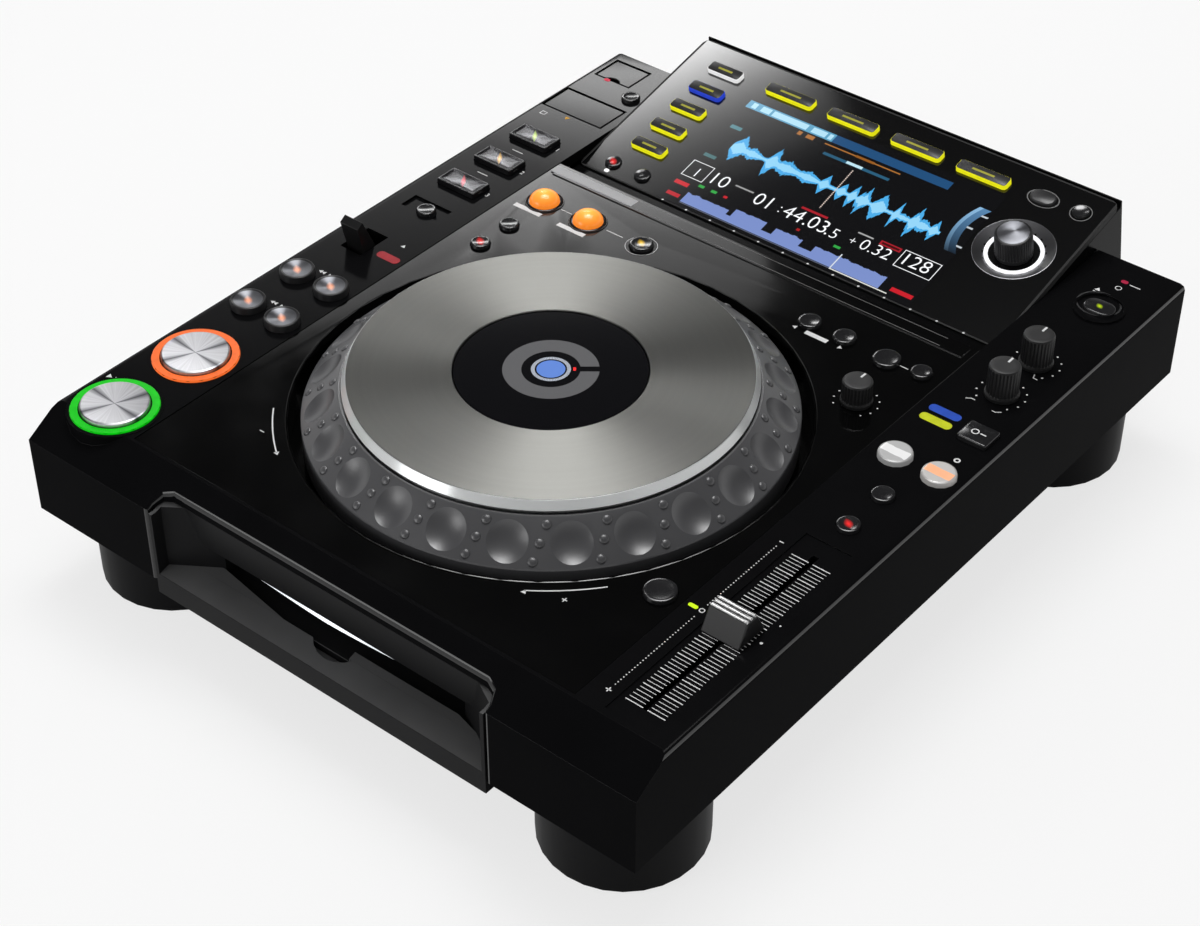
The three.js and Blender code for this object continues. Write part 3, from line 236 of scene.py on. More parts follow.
def card(name, turns, rises, power, curve):
    """A lit card seen only in polished surfaces, between two angles round to the left of
    the rear and two angles up. Its light fades towards its upper edge."""
    turn, rise = (math.radians(sum(pair) / 2) for pair in (turns, rises))
    away = Vector((
        -math.sin(turn) * math.cos(rise),
        math.cos(turn) * math.cos(rise),
        math.sin(rise),
    ))
    bare()
    bpy.ops.mesh.primitive_plane_add(size=1, location=away * CARD_REACH)
    made = bpy.context.object
    made.name = name
    made.rotation_euler = away.to_track_quat("Z", "Y").to_euler()
    wide, high = (
        2 * CARD_REACH * math.tan(math.radians(pair[1] - pair[0]) / 2) for pair in (turns, rises)
    )
    made.scale = (wide * math.cos(rise), high, 1)
    glow = Finish(bpy.data.materials.new(name))
    glow.tree.nodes.clear()
    spot = glow.node("ShaderNodeTexCoord", out=3)
    down = 0.5 - glow.node("ShaderNodeSeparateXYZ", inputs={0: spot}, out=1)
    level = down.held().math("POWER", curve) * (power[0] - power[1]) + power[1]
    light = glow.node("ShaderNodeEmission", inputs={"Color": (1, 1, 1), "Strength": level})
    glow.node("ShaderNodeOutputMaterial", inputs={0: light})
    made.data.materials.append(glow.holder)
    made.visible_camera = False
    made.visible_diffuse = False
    made.visible_shadow = False
    made.visible_transmission = False


card("rear_left_card", turns=(34.5, 56), rises=(29, 36.4), power=(22, 1.0), curve=2.8)
card("high_left_card", turns=(47, 57), rises=(47.3, 51.4), power=(21, 0.6), curve=3)
card("upper_rear_card", turns=(20, 58), rises=(62, 74), power=(10, 10), curve=1)


# ---------------------------------------------------------------- Casing
# Top case of satin black moulded plastic, painted steel base with four feet, and the black
# moulded guide round the disc slot. The case is screwed to the base from below.

CASE_BLACK = (0.0038, 0.0038, 0.0042)
BASE_BLACK = (0.009, 0.009, 0.0095)
GUIDE_BLACK = (0.009, 0.009, 0.0095)
# Grey painted on the slot lip's upward faces as their lit look.
LIP_PAINTED_LIT_GREY = (0.075, 0.075, 0.076)
LIP_REAR = -188.2
CASE_FRONT = -198.5
SLOPE_FOOT = 69.5
SLOPE_RISE = 0.6
NOTCH_HALF = 86.3
NOTCH_REAR = -189.3
NOTCH_ROUND = 1.7
SHINE_FROM_Y = 70
SHINE_RUN = 75
SHARP_FROM = 24
DRIVE_SILVER = (0.42, 0.42, 0.41)
BOARD_GREEN = (0.02, 0.12, 0.05)
MM = 0.001
GRAIN_PER_M = 2600


class Skin(Finish):
    """The finish of one piece, on a Principled shader."""

    def __init__(self, name, **sockets):
        super().__init__(bpy.data.materials.new(name))
        self.shader = self.tree.nodes["Principled BSDF"]
        for key, value in sockets.items():
            self.set(key.replace("_", " "), value)

    def set(self, key, value):
        self.join(value, self.shader.inputs[key])

    def place(self):
        """Where a point lies on the object, in millimetres."""
        whole = self.node("ShaderNodeTexCoord", out=3)
        return [
            self.node("ShaderNodeSeparateXYZ", inputs={0: whole}, out=axis) * (1 / MM)
            for axis in range(3)
        ]

    def noise(self, per_m, detail):
        whole = self.node("ShaderNodeTexCoord", out=3)
        inputs = {"Vector": whole, "Scale": per_m, "Detail": detail}
        return self.node("ShaderNodeTexNoise", inputs=inputs)

    def lines(self, along, detail):
        """Noise along one number, for turned and brushed lines."""
        inputs = {"W": along, "Scale": 1, "Detail": detail}
        return self.node("ShaderNodeTexNoise", {"noise_dimensions": "1D"}, inputs)

    def bump(self, height, depth_mm):
        inputs = {"Height": height, "Distance": depth_mm * MM, "Strength": 1}
        self.set("Normal", self.node("ShaderNodeBump", inputs=inputs))


def shade(colour, by):
    return tuple(min(1, c * by) for c in colour)


def moulded(name, colour, rough, gloss, grain=0.012, uneven=0.3):
    """A moulded or painted surface: a fine grain, and a tone that is a little uneven."""
    skin = Skin(name)
    patch = skin.noise(38, 3)
    fine = skin.noise(GRAIN_PER_M, 2)
    tone = (patch * 0.6 + fine * 0.4).held()
    skin.set("Base Color", skin.blend(tone, shade(colour, 1 - uneven), shade(colour, 1 + uneven)))
    skin.set("Roughness", patch * 0.1 + (rough - 0.05))
    skin.set("Specular IOR Level", gloss)
    if grain:
        skin.bump(fine, grain)
    return skin


def take(piece):
    bare()
    piece.select_set(True)
    bpy.context.view_layer.objects.active = piece


def edit(piece):
    take(piece)
    bpy.ops.object.mode_set(mode="EDIT")


def leave():
    bpy.ops.object.mode_set(mode="OBJECT")


def pick_all():
    bpy.ops.mesh.select_all(action="SELECT")


def settle():
    """Puts the selected piece's place, turn and scale into its mesh."""
    bpy.ops.object.transform_apply(location=True, rotation=True, scale=True)


def pick(kind, test):
    """Selects in edit mode the faces, edges or points whose middle, in millimetres, and
    normal pass a test."""
    mesh = bmesh.from_edit_mesh(bpy.context.object.data)
    bpy.ops.mesh.select_all(action="DESELECT")
    for part in {"FACE": mesh.faces, "EDGE": mesh.edges, "VERT": mesh.verts}[kind]:
        if kind == "FACE":
            middle, normal = part.calc_center_median(), part.normal
        elif kind == "EDGE":
            middle = (part.verts[0].co + part.verts[1].co) / 2
            normal = (part.verts[1].co - part.verts[0].co).normalized()
        else:
            middle, normal = part.co, part.normal
        if test(middle / MM, normal):
            part.select_set(True)
    bmesh.update_edit_mesh(bpy.context.object.data)


def edge_mode():
    bpy.ops.mesh.select_mode(type="EDGE")


def dress(piece, skin, body, slot, *nodes, smooth=32):
    """Gives a finished piece its surface, its body and the nodes it stands for; its slot is not
    used.
    """
    take(piece)
    settle()
    bpy.ops.object.shade_smooth_by_angle(angle=math.radians(smooth))
    piece.data.materials.clear()
    piece.data.materials.append(skin.holder)
    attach(piece, body)
    if nodes:
        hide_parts(*nodes)


def refined(node, skin, slot, edge, steps=2, first=None):
    """A copy of the node with its sharp edges rounded off, after the work named first."""
    source = frame["nodes"][node]
    piece = bpy.data.objects.new(node + "_moulding", source.data.copy())
    bpy.context.scene.collection.objects.link(piece)
    edit(piece)
    pick_all()
    bpy.ops.mesh.remove_doubles(threshold=0.004 * MM)
    bpy.ops.mesh.dissolve_limited(angle_limit=math.radians(0.5))
    if first:
        first()
    leave()
    bevel = piece.modifiers.new("edges", "BEVEL")
    bevel.width = edge * MM
    bevel.segments = steps
    bevel.limit_method = "ANGLE"
    bevel.angle_limit = math.radians(SHARP_FROM)
    bpy.ops.object.modifier_apply(modifier=bevel.name)
    dress(piece, skin, source["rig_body"], slot, node, smooth=40)
    flat = piece.modifiers.new("flat_faces", "WEIGHTED_NORMAL")
    flat.weight = 100
    flat.keep_sharp = True
    bpy.ops.object.modifier_apply(modifier=flat.name)


def rise_of(skin):
    """How far the surface faces up: 1 for a top, 0 for a wall."""
    facing = skin.node("ShaderNodeNewGeometry", out=1)
    return skin.node("ShaderNodeSeparateXYZ", inputs={0: facing}, out=2)


def glaze_tops(skin, rough, weight, edges):
    """A harder shine on what faces up than on the walls, more of it towards the rear and most
    of it on rounded edges."""
    up = rise_of(skin)
    x, y, z = skin.place()
    corner = (abs(abs(x) - NOTCH_HALF - 0.85) < 0.9) * (y < CASE_FRONT + NOTCH_ROUND)
    round_edge = (up.between(0.12, 0.7) + corner * (up < 0.7)).held()
    rearward = ((y - SHINE_FROM_Y) / SHINE_RUN).held() * 0.72 + 0.36
    skin.set("Coat Weight", (up > 0.7) * rearward * weight + round_edge * edges)
    skin.set("Coat Roughness", rough)


def carry(node, skin):
    """Keeps the node itself, with a better surface."""
    for slot in frame["nodes"][node].material_slots:
        slot.material = skin.holder


def round_notch():
    """The edge round the disc slot's notch is rounded much more than the other edges."""

    def at_notch(at, along):
        on_slope = abs(at.z - SLOPE_FOOT - (at.y - CASE_FRONT) * SLOPE_RISE) < 0.3
        inside = abs(at.x) < NOTCH_HALF + 0.1 and CASE_FRONT - 0.1 < at.y < NOTCH_REAR + 0.1
        upright = abs(along.z) > 0.9 and abs(at.x) > NOTCH_HALF - 0.1 and at.y < CASE_FRONT + 0.1
        return inside and (on_slope or upright)

    edge_mode()
    pick("EDGE", at_notch)
    bpy.ops.mesh.bevel(offset=NOTCH_ROUND * MM, segments=4, affect="EDGES")


case_skin = moulded("case_plastic", CASE_BLACK, 0.34, gloss=0.004)
glaze_tops(case_skin, 0.1, 0.3, 0.9)
refined("top_case", case_skin, "case_black", edge=0.3, first=round_notch)
base_skin = moulded("base_paint", BASE_BLACK, 0.42, gloss=0.03)
refined("base_plate", base_skin, "base_black", edge=0.4)
guide_skin = moulded("guide_plastic", GUIDE_BLACK, 0.4, gloss=0.05)
worn = guide_skin.noise(60, 2)
# Painted light: the guide's upward faces in front of the slot get a lighter grey as if lit from
# above; its walls keep the black.
lip_top_painted_lit = (rise_of(guide_skin) > 0.9) * (guide_skin.place()[1] < LIP_REAR)
lip_grey = guide_skin.blend(worn, shade(LIP_PAINTED_LIT_GREY, 0.85), shade(LIP_PAINTED_LIT_GREY, 1.15))
guide_skin.set("Base Color", guide_skin.blend(lip_top_painted_lit, GUIDE_BLACK, lip_grey))
refined("slot_guide", guide_skin, "slot_black", edge=0.3)
drive_skin = moulded("drive_casting", DRIVE_SILVER, 0.4, gloss=0.5)
drive_skin.set("Metallic", 0.9)
carry("disc_drive", drive_skin)
carry("power_supply", drive_skin)
carry("main_board", moulded("board_lacquer", BOARD_GREEN, 0.35, gloss=0.5))


# ---------------------------------------------------------------- Slot glint and lip
# A clear lens under the slot's upper edge, clipped into the guide, glowing white as a painted
# highlight of the glint there.
# Two thin wedges carry the guide's grey lip back to where the disc goes in. The lip's grey is
# painted light: its upward faces are painted lighter than the black walls.

# Place of the lens that glows as a painted highlight under the slot's edge.
SLOT_GLINT_LENS = {"x": (-50, 42), "y": (-185.9, -184.6), "z": (49.6, 53.4)}
SLOT_GLINT_WHITE = (0.9, 0.95, 1.0)
SLOT_GLINT_CUTS = 16
SLOT_GLINT_END = 0.6
LIP_WEDGES = {
    "lip_wedge_left": [(-82, -186.6), (-62.6, -183.2), (-26, -188.2)],
    "lip_wedge_right": [(9, -184.9), (61.1, -184.8), (76, -188.2)],
}
WEDGE_LOW, WEDGE_HIGH = 39.4, 40.9
WEDGE_RISE = 0.294


def block(name, x, y, z, corner=0, brow=0, corner_steps=4):
    """A box between two limits on each axis: its upright edges are rounded by corner and
    the edges round its top by brow."""
    bare()
    middle = [sum(limits) / 2 * MM for limits in (x, y, z)]
    bpy.ops.mesh.primitive_cube_add(size=1, location=middle)
    piece = bpy.context.object
    piece.name = name
    piece.scale = [(limits[1] - limits[0]) * MM for limits in (x, y, z)]
    settle()
    edit(piece)
    edge_mode()
    if corner:
        pick("EDGE", lambda at, along: abs(along.z) > 0.9)
        bpy.ops.mesh.bevel(offset=corner * MM, segments=corner_steps, affect="EDGES")
    if brow:
        pick("EDGE", lambda at, along: abs(along.z) < 0.1 and at.z > z[1] - 0.01)
        bpy.ops.mesh.bevel(offset=brow * MM, segments=3, affect="EDGES")
    leave()
    return piece


slot_lamp = block("slot_lamp", *SLOT_GLINT_LENS.values())
edit(slot_lamp)
(left, right), (under, over) = SLOT_GLINT_LENS["x"], SLOT_GLINT_LENS["z"]
middle, reach = (left + right) / 2, (right - left) / 2
spots = [left + 2 * reach * i / SLOT_GLINT_CUTS for i in range(SLOT_GLINT_CUTS + 1)]
for spot in spots[1:-1]:
    pick_all()
    bpy.ops.mesh.bisect(plane_co=(spot * MM, 0, 0), plane_no=(1, 0, 0))
bpy.ops.mesh.select_mode(type="VERT")
for spot in spots:
    pick("VERT", lambda at, normal: abs(at.x - spot) < 0.05 and at.z < under + 0.1)
    bow = 1 - abs((spot - middle) / reach) ** 1.4
    thick = SLOT_GLINT_END + (over - under - SLOT_GLINT_END) * bow
    bpy.ops.transform.translate(value=(0, 0, (over - under - thick) * MM))
leave()
# Painted highlight: the lens glows white, brightest in the middle and fading to its ends, where a
# glint shows under the slot's edge.
glint_lens_skin = Skin("slot_lamp_glow", Roughness=0.3, Emission_Strength=1.0)
glow = (1 - abs(glint_lens_skin.place()[0] - middle) * 0.013).held()
level = (glow * (glint_lens_skin.noise(300, 1) * 0.3 + 0.85)).held()
glint_lens_skin.set("Base Color", glint_lens_skin.blend(level, (0.02, 0.02, 0.02), SLOT_GLINT_WHITE))
glint_lens_skin.set("Emission Color", glint_lens_skin.blend(level, (0, 0, 0), SLOT_GLINT_WHITE))
dress(slot_lamp, glint_lens_skin, "chassis", "lamp_white")

# The wedges carry the same painted lit grey as the lip's top.
painted_lit_wedge_skin = moulded("lip_grey", LIP_PAINTED_LIT_GREY, 0.4, gloss=0.05)
for name, rear in LIP_WEDGES.items():
    (first_x, _), (middle_x, middle_y), (last_x, _) = rear
    wedge = block(name, (first_x, last_x), (LIP_REAR - 0.2, middle_y), (WEDGE_LOW, WEDGE_HIGH))
    edit(wedge)
    pick_all()
    bpy.ops.mesh.bisect(plane_co=(middle_x * MM, 0, 0), plane_no=(1, 0, 0))
    bpy.ops.mesh.select_mode(type="VERT")
    for rear_x, rear_y in rear:
        pick("VERT", lambda at, normal: abs(at.x - rear_x) < 0.05 and at.y > LIP_REAR)
        bpy.ops.transform.translate(value=(0, (rear_y - middle_y) * MM, 0))
        pick("VERT", lambda at, normal: abs(at.x - rear_x) < 0.05
             and at.y > LIP_REAR - 0.1 and at.z > WEDGE_HIGH - 0.9)
        bpy.ops.transform.translate(value=(0, 0, (rear_y - LIP_REAR) * WEDGE_RISE * MM))
    leave()
    dress(wedge, painted_lit_wedge_skin, "chassis", "slot_black")


# ---------------------------------------------------------------- Deck plate
# One polished black plate between the strips, with the jog wheel's well, a thin bright
# bezel round it and a raised bar for the touch strip. It drops into the case from above.

DECK_BLACK = (0.0015, 0.0015, 0.0016)
WELL_R = 104.8
JOG_AT = (0.5, -59.75)
BEZEL_TOP = 80.1
BEZEL_SILVER = (0.07, 0.07, 0.07)

deck_skin = moulded("deck_polish", DECK_BLACK, 0.07, gloss=0.45, grain=0, uneven=0.15)
refined("deck_plate", deck_skin, "deck_gloss", edge=0.2, steps=1)


def turned(name, profile, at, sides=64, hollow=False):
    """A round piece, pulled up ring by ring along a profile of radius and height. A hollow
    one comes back round to the first ring."""
    (r, z), *rest = profile
    bare()
    bpy.ops.mesh.primitive_circle_add(
        vertices=sides, radius=r * MM, fill_type="NOTHING" if hollow else "NGON",
        location=(at[0] * MM, at[1] * MM, z * MM),
    )
    piece = bpy.context.object
    piece.name = name
    edit(piece)
    if hollow:
        edge_mode()
        rest.append(profile[0])
    for next_r, next_z in rest:
        lift = {"value": (0, 0, (next_z - z) * MM)}
        bpy.ops.mesh.extrude_region_move(TRANSFORM_OT_translate=lift)
        grow = next_r / r
        middle = (at[0] * MM, at[1] * MM, next_z * MM)
        bpy.ops.transform.resize(value=(grow, grow, 1), center_override=middle)
        r, z = next_r, next_z
    pick_all()
    if hollow:
        bpy.ops.mesh.remove_doubles(threshold=0.002 * MM)
    bpy.ops.mesh.normals_make_consistent(inside=False)
    leave()
    settle()
    return piece


BEZEL_PROFILE = [
    (WELL_R, 79.6), (WELL_R + 0.9, 79.6), (WELL_R + 0.9, 79.95), (WELL_R + 0.6, BEZEL_TOP),
    (WELL_R + 0.2, BEZEL_TOP), (WELL_R, 79.95),
]
bezel = turned("well_bezel", BEZEL_PROFILE, JOG_AT, 192, hollow=True)
bezel_skin = moulded("bezel_chrome", BEZEL_SILVER, 0.22, gloss=0.5, grain=0)
bezel_skin.set("Metallic", 1.0)
dress(bezel, bezel_skin, "chassis", "button_metal")


# ---------------------------------------------------------------- Jog wheel
# A grey moulded finger ring with 24 dimples and rows of bumps between them, and on it a
# spun aluminium platter with a turned rim. In the middle stands a fixed post with a round
# black window, lit from below.

RING_GREY = (0.062, 0.062, 0.066)
RING_PROFILE = [
    (99.6, 70), (99.6, 80.1), (99.35, 80.7), (84.3, 93.25), (83.9, 93.5), (83.1, 93.5),
    (83.1, 89.5), (14, 89.5), (14, 74.5), (18, 74.5), (18, 86.5), (82.2, 86.5),
    (96, 78.7), (96, 70),
]
DIMPLES = 24
DIMPLE_R = 8.4
DIMPLE_DEPTH = 2.1
DIMPLE_AT = (91.8, 87)
SLOPE = math.atan2(13, 15.6)
BUMP_R = 1.9
BUMP_RISE = 0.8
BUMP_PLACES = ((-7.1, 2.4), (0, 0), (7.1, -2.4))
PLATTER_PROFILE = [
    (39.2, 89.8), (41.6, 89.8), (41.6, 96.3), (78.3, 96.3), (78.3, 89.8), (81.5, 89.8),
    (81.5, 94.5), (82.7, 94.7), (82.8, 95.0), (80.9, 98.5), (80.6, 98.7), (39.5, 98.7),
    (39.2, 98.4),
]
PLATTER_GREY = (0.17, 0.17, 0.16)
RIM_R = 80.75
RIM_BRIGHT = (0.9, 0.92, 0.92)
WINDOW_PROFILE = [
    (30, 64.3), (30, 67.3), (13.7, 67.3), (13.7, 94.6), (38.6, 94.6), (38.6, 98.0),
    (38.4, 98.2), (20, 98.2),
]
WINDOW_GAP_WAY = (0.773, 0.634)
WINDOW_BLACK = (0.005, 0.005, 0.006)

ring = turned("jog_finger_ring", RING_PROFILE, JOG_AT, 192, hollow=True)
ball_r = (DIMPLE_R**2 + DIMPLE_DEPTH**2) / (2 * DIMPLE_DEPTH)
out = Vector((math.sin(SLOPE), 0, math.cos(SLOPE)))
centre = Vector((DIMPLE_AT[0], 0, DIMPLE_AT[1])) + out * (ball_r - DIMPLE_DEPTH)
bare()
bpy.ops.mesh.primitive_uv_sphere_add(segments=48, ring_count=48, radius=ball_r * MM)
cutter = bpy.context.object
cutter.rotation_euler = (0, SLOPE, 0)
cutter.location = centre * MM
settle()
edit(cutter)
reach = (ball_r - DIMPLE_DEPTH - 0.8) * MM
pick("VERT", lambda at, normal: (at - centre).dot(out) * MM > -reach)
bpy.ops.mesh.delete(type="VERT")
pick("EDGE", lambda at, along: True)
bpy.ops.mesh.select_non_manifold()
bpy.ops.mesh.edge_face_add()
pick_all()
bpy.ops.mesh.normals_make_consistent(inside=False)
leave()


def twin(piece):
    """A second piece of the same shape, with its own mesh."""
    made = piece.copy()
    made.data = piece.data.copy()
    bpy.context.scene.collection.objects.link(made)
    return made


def joined(name, pieces):
    bare()
    for piece in pieces:
        piece.select_set(True)
    bpy.context.view_layer.objects.active = pieces[0]
    bpy.ops.object.join()
    pieces[0].name = name
    return pieces[0]


def round_about(piece, first=0.0):
    """Copies of a piece for all the dimples' places round the wheel, in one mesh."""
    spot = Matrix.Translation((JOG_AT[0] * MM, JOG_AT[1] * MM, 0))
    copies = [piece] + [twin(piece) for _ in range(DIMPLES - 1)]
    for i, copy in enumerate(copies):
        copy.data.transform(spot @ Matrix.Rotation(first + 2 * math.pi * i / DIMPLES, 4, "Z"))
    return joined(piece.name, copies)


def carve(piece, cutter):
    cut = piece.modifiers.new("cut", "BOOLEAN")
    cut.operation = "DIFFERENCE"
    cut.object = cutter
    cut.solver = "EXACT"
    take(piece)
    bpy.ops.object.modifier_apply(modifier=cut.name)
    bpy.data.objects.remove(cutter)


carve(ring, round_about(cutter))
ring_skin = moulded("ring_satin", RING_GREY, 0.37, gloss=1.0, grain=0.004, uneven=0.1)
dress(ring, ring_skin, "jog_wheel", "ring_grey", "jog_ring", smooth=22)

bare()
bpy.ops.mesh.primitive_uv_sphere_add(segments=14, ring_count=8, radius=BUMP_R * MM)
bump = bpy.context.object
bump.name = "jog_grip_bumps"
bump.scale = (1, 1, BUMP_RISE / BUMP_R)
settle()
down_slope = Vector((math.cos(SLOPE), 0, -math.sin(SLOPE)))
rows = [bump] + [twin(bump) for _ in BUMP_PLACES[1:]]
for row, (along, aside) in zip(rows, reversed(BUMP_PLACES)):
    row.rotation_euler = (0, SLOPE, 0)
    row.location = (Vector((DIMPLE_AT[0], aside, DIMPLE_AT[1])) + down_slope * along) * MM
    take(row)
    settle()
round_about(joined(bump.name, rows), math.pi / DIMPLES)
dress(bump, ring_skin, "jog_wheel", "ring_grey", smooth=60)


def about(place, at):
    """How far a point lies to the right of, behind and away from an upright line."""
    dx, dy = place[0] - at[0], place[1] - at[1]
    return dx, dy, dx.length_with(dy)


platter = turned("jog_spun_platter", PLATTER_PROFILE, JOG_AT, 192, hollow=True)
platter_skin = Skin(
    "platter_aluminium", Metallic=1.0, Anisotropic=0.95, Anisotropic_Rotation=0.25
)
radius = about(platter_skin.place(), JOG_AT)[2]
fine, broad = platter_skin.lines(radius * 6, 3), platter_skin.lines(radius * 0.35, 2)
tone = (fine * 0.6 + broad * 0.4).held()
rim = radius > RIM_R
face = platter_skin.blend(tone, shade(PLATTER_GREY, 0.9), shade(PLATTER_GREY, 1.1))
platter_skin.set("Base Color", platter_skin.blend(rim, face, RIM_BRIGHT))
platter_skin.set("Roughness", (fine * 0.16 + 0.27) * (1 - rim) + rim * 0.3)
platter_skin.bump(fine, 0.01)
dress(platter, platter_skin, "jog_wheel", "platter_metal", "jog_platter", smooth=20)

window = turned("jog_window", WINDOW_PROFILE, JOG_AT, 128)
window_skin = Skin("window_gloss", Roughness=0.08, Emission_Strength=1.0)
window_skin.set("Specular IOR Level", 0.1)
dx, dy, radius = about(window_skin.place(), JOG_AT)
toward = dx * WINDOW_GAP_WAY[0] + dy * WINDOW_GAP_WAY[1]
aside = abs(dx * WINDOW_GAP_WAY[1] - dy * WINDOW_GAP_WAY[0])
gap = (toward > 0) * (aside < 1.6)
ticks = (dy.math("ARCTAN2", dx) * (36 / math.pi)).math("FRACT").between(0.12, 0.88)
core = radius < 5.7
hub = radius.between(6.4, 7.9) * ticks
red_dot = radius.between(8.8, 9.9) * (toward > 0) * (aside < 1.1)
band = radius.between(11.7, 19.2) * (1 - gap)
colour, shine = WINDOW_BLACK, (0, 0, 0)
for mask, tint, light in (
    (band, (0.13, 0.13, 0.135), (0, 0, 0)),
    (hub, (0.42, 0.44, 0.48), (0.12, 0.14, 0.18)),
    (core, (0.1, 0.17, 0.42), (0.04, 0.1, 0.3)),
    (red_dot, (0.6, 0.03, 0.03), (0.5, 0.01, 0.01)),
):
    colour = window_skin.blend(mask, colour, tint)
    shine = window_skin.blend(mask, shine, light)
window_skin.set("Base Color", colour)
window_skin.set("Emission Color", shine)
dress(window, window_skin, "chassis", "window_black", "jog_hub", smooth=20)


# ---------------------------------------------------------------- Display
# A wedge of black plastic behind the deck carries one sheet of tinted glass that tilts up
# to the rear. The lit panel lies under the glass, the keys come up through holes in it.

FACE_MIDDLE = (0, 140.452, 85.130)
FACE_TILT = math.radians(13.3)
GLASS_BLACK = (0.003, 0.003, 0.0032)
PANEL = {"x": (-68.5, 68.5), "y": (-48.4, 28.8), "z": (0, 0.12)}
SHEET_HALF = 49.5
BORDER = 1.1


def on_face(*pieces):
    """Moves pieces that were made in the glass's own frame to their place on it."""
    lean = Matrix.Rotation(FACE_TILT, 4, "X")
    for piece in pieces:
        piece.data.transform(Matrix.Translation(Vector(FACE_MIDDLE) * MM) @ lean)


def face_place(skin):
    """Where a point lies across and up the glass, in millimetres from its middle."""
    x, y, z = skin.place()
    up = (y - FACE_MIDDLE[1]) * math.cos(FACE_TILT) + (z - FACE_MIDDLE[2]) * math.sin(FACE_TILT)
    return x, up


housing_skin = moulded("housing_gloss", GLASS_BLACK, 0.2, gloss=0.03, grain=0, uneven=0.15)
refined("display_housing", housing_skin, "case_black", edge=0.3)
glass_skin = moulded("display_glass", GLASS_BLACK, 0.07, gloss=0.8, grain=0, uneven=0.15)
sheet_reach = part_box("display_screen")[1].x / MM
u, v = face_place(glass_skin)
border = ((abs(u) > sheet_reach - BORDER) + (abs(v) > SHEET_HALF - BORDER)).held()
glass_skin.set("Roughness", border * 0.8 + 0.07)
refined("display_screen", glass_skin, "screen_black", edge=0.25)

panel = block("lit_panel", *PANEL.values(), corner=1.5)
on_face(panel)
panel_skin = Skin("lit_panel_glow", Emission_Strength=1.0)
panel_skin.set("Specular IOR Level", 0.8)
u, v = face_place(panel_skin)


def box_mask(low_u, high_u, low_v, high_v):
    return u.between(low_u, high_u) * v.between(low_v, high_v)


def column_noise(width, seed, detail=0):
    """One number for each column of that width."""
    step = (u * (1 / width)).math("FLOOR")
    return panel_skin.lines(step * 0.37 + seed, detail)


WAVE_MIDDLE = -4.9
# Place across the glass, height and reach to each side.
WAVE_PEAKS = [
    (-53.3, 9.2, 5), (-46, 4, 9), (-34.7, 10.3, 3.4), (-27, 4.8, 12), (-15, 4, 10), (-5.8, 6.8, 3),
    (3.5, 6.4, 2.6), (9.4, 7.8, 2.4), (15, 8.1, 4), (23.4, 9.3, 4.5), (32.5, 8.3, 1.8),
    (36, 2.6, 8), (42, 9.7, 3), (46, 4.6, 6), (52.2, 6.9, 2.6),
]
# Left, right and top of each raised part.
OVERVIEW = [(-56, -33, -39.4), (-30.5, -13.5, -37.2), (-8, 6.5, -38), (13.5, 51, -38.4)]
OVERVIEW_LOW = -45.8

tall = 1.2 + 0 * u
for at, high, reach in WAVE_PEAKS:
    tall = tall.math("MAXIMUM", (1 - abs(u - at) * (1 / reach)) * high)
tall = tall * (column_noise(0.45, 3.1, 1) * 0.7 + 0.62)
from_middle = abs(v - WAVE_MIDDLE)
sound = (from_middle < tall) * u.between(-57, 55.5)
playing = abs(u - 0.3 - (9.1 - v) * 0.03) < 0.3
ink = (0.0, 0.0, 0.0)
bar_blue, cyan = (0.012, 0.075, 0.2), (0.07, 0.42, 0.82)
light_blue, steel_blue = (0.3, 0.68, 0.95), (0.2, 0.28, 0.6)
amber, red, green = (0.42, 0.16, 0.03), (0.6, 0.01, 0.02), (0.03, 0.4, 0.06)
dash = column_noise(1.3, 9.0)
# Masks and colours, each laid over the ones before it.
shades = [
    (box_mask(-67.5, 43.5, 19.4, 24.4), bar_blue),
    (box_mask(-67.5, -19, 19.4, 24.4), (0.1, 0.36, 0.56)),
    (box_mask(-65, -20, 20.2, 23.6) * (dash > 0.4), (0.45, 0.76, 0.92)),
    (box_mask(-21, 20, 16.9, 17.6), amber),
    (box_mask(-36, -27, 16.0, 18.4) * (dash > 0.42), amber),
    (box_mask(-4, 6, 16.6, 18.0), (0.3, 0.1, 0.01)),
    (box_mask(-18, 17.6, 11.0, 12.6), (0.02, 0.11, 0.2)),
    (box_mask(-5.4, 3.2, 11.2, 12.8), (0.55, 0.8, 0.9)),
    (sound, cyan),
    (sound * (from_middle < tall * 0.5), light_blue),
    (box_mask(-65.5, -59.5, 4.6, 6.8), (0.06, 0.22, 0.26)),
    (box_mask(-65, -58.5, -16.4, -14.4), (0.05, 0.16, 0.17)),
    (playing * v.between(-18, 9.1) * ((v * 0.9).math("FRACT") > 0.35), (0.75, 0.62, 0.55)),
    (box_mask(-40, -30, -25.4, -24.6), (0.4, 0.4, 0.4)),
    (box_mask(24.6, 32.7, -22.4, -21.6), (0.4, 0.4, 0.4)),
]
for low_u, high_u, top in OVERVIEW:
    edge = column_noise(1.1, top) * 1.2 + (top - 0.6)
    shades.append((u.between(low_u, high_u) * (v > OVERVIEW_LOW) * (v < edge), steel_blue))
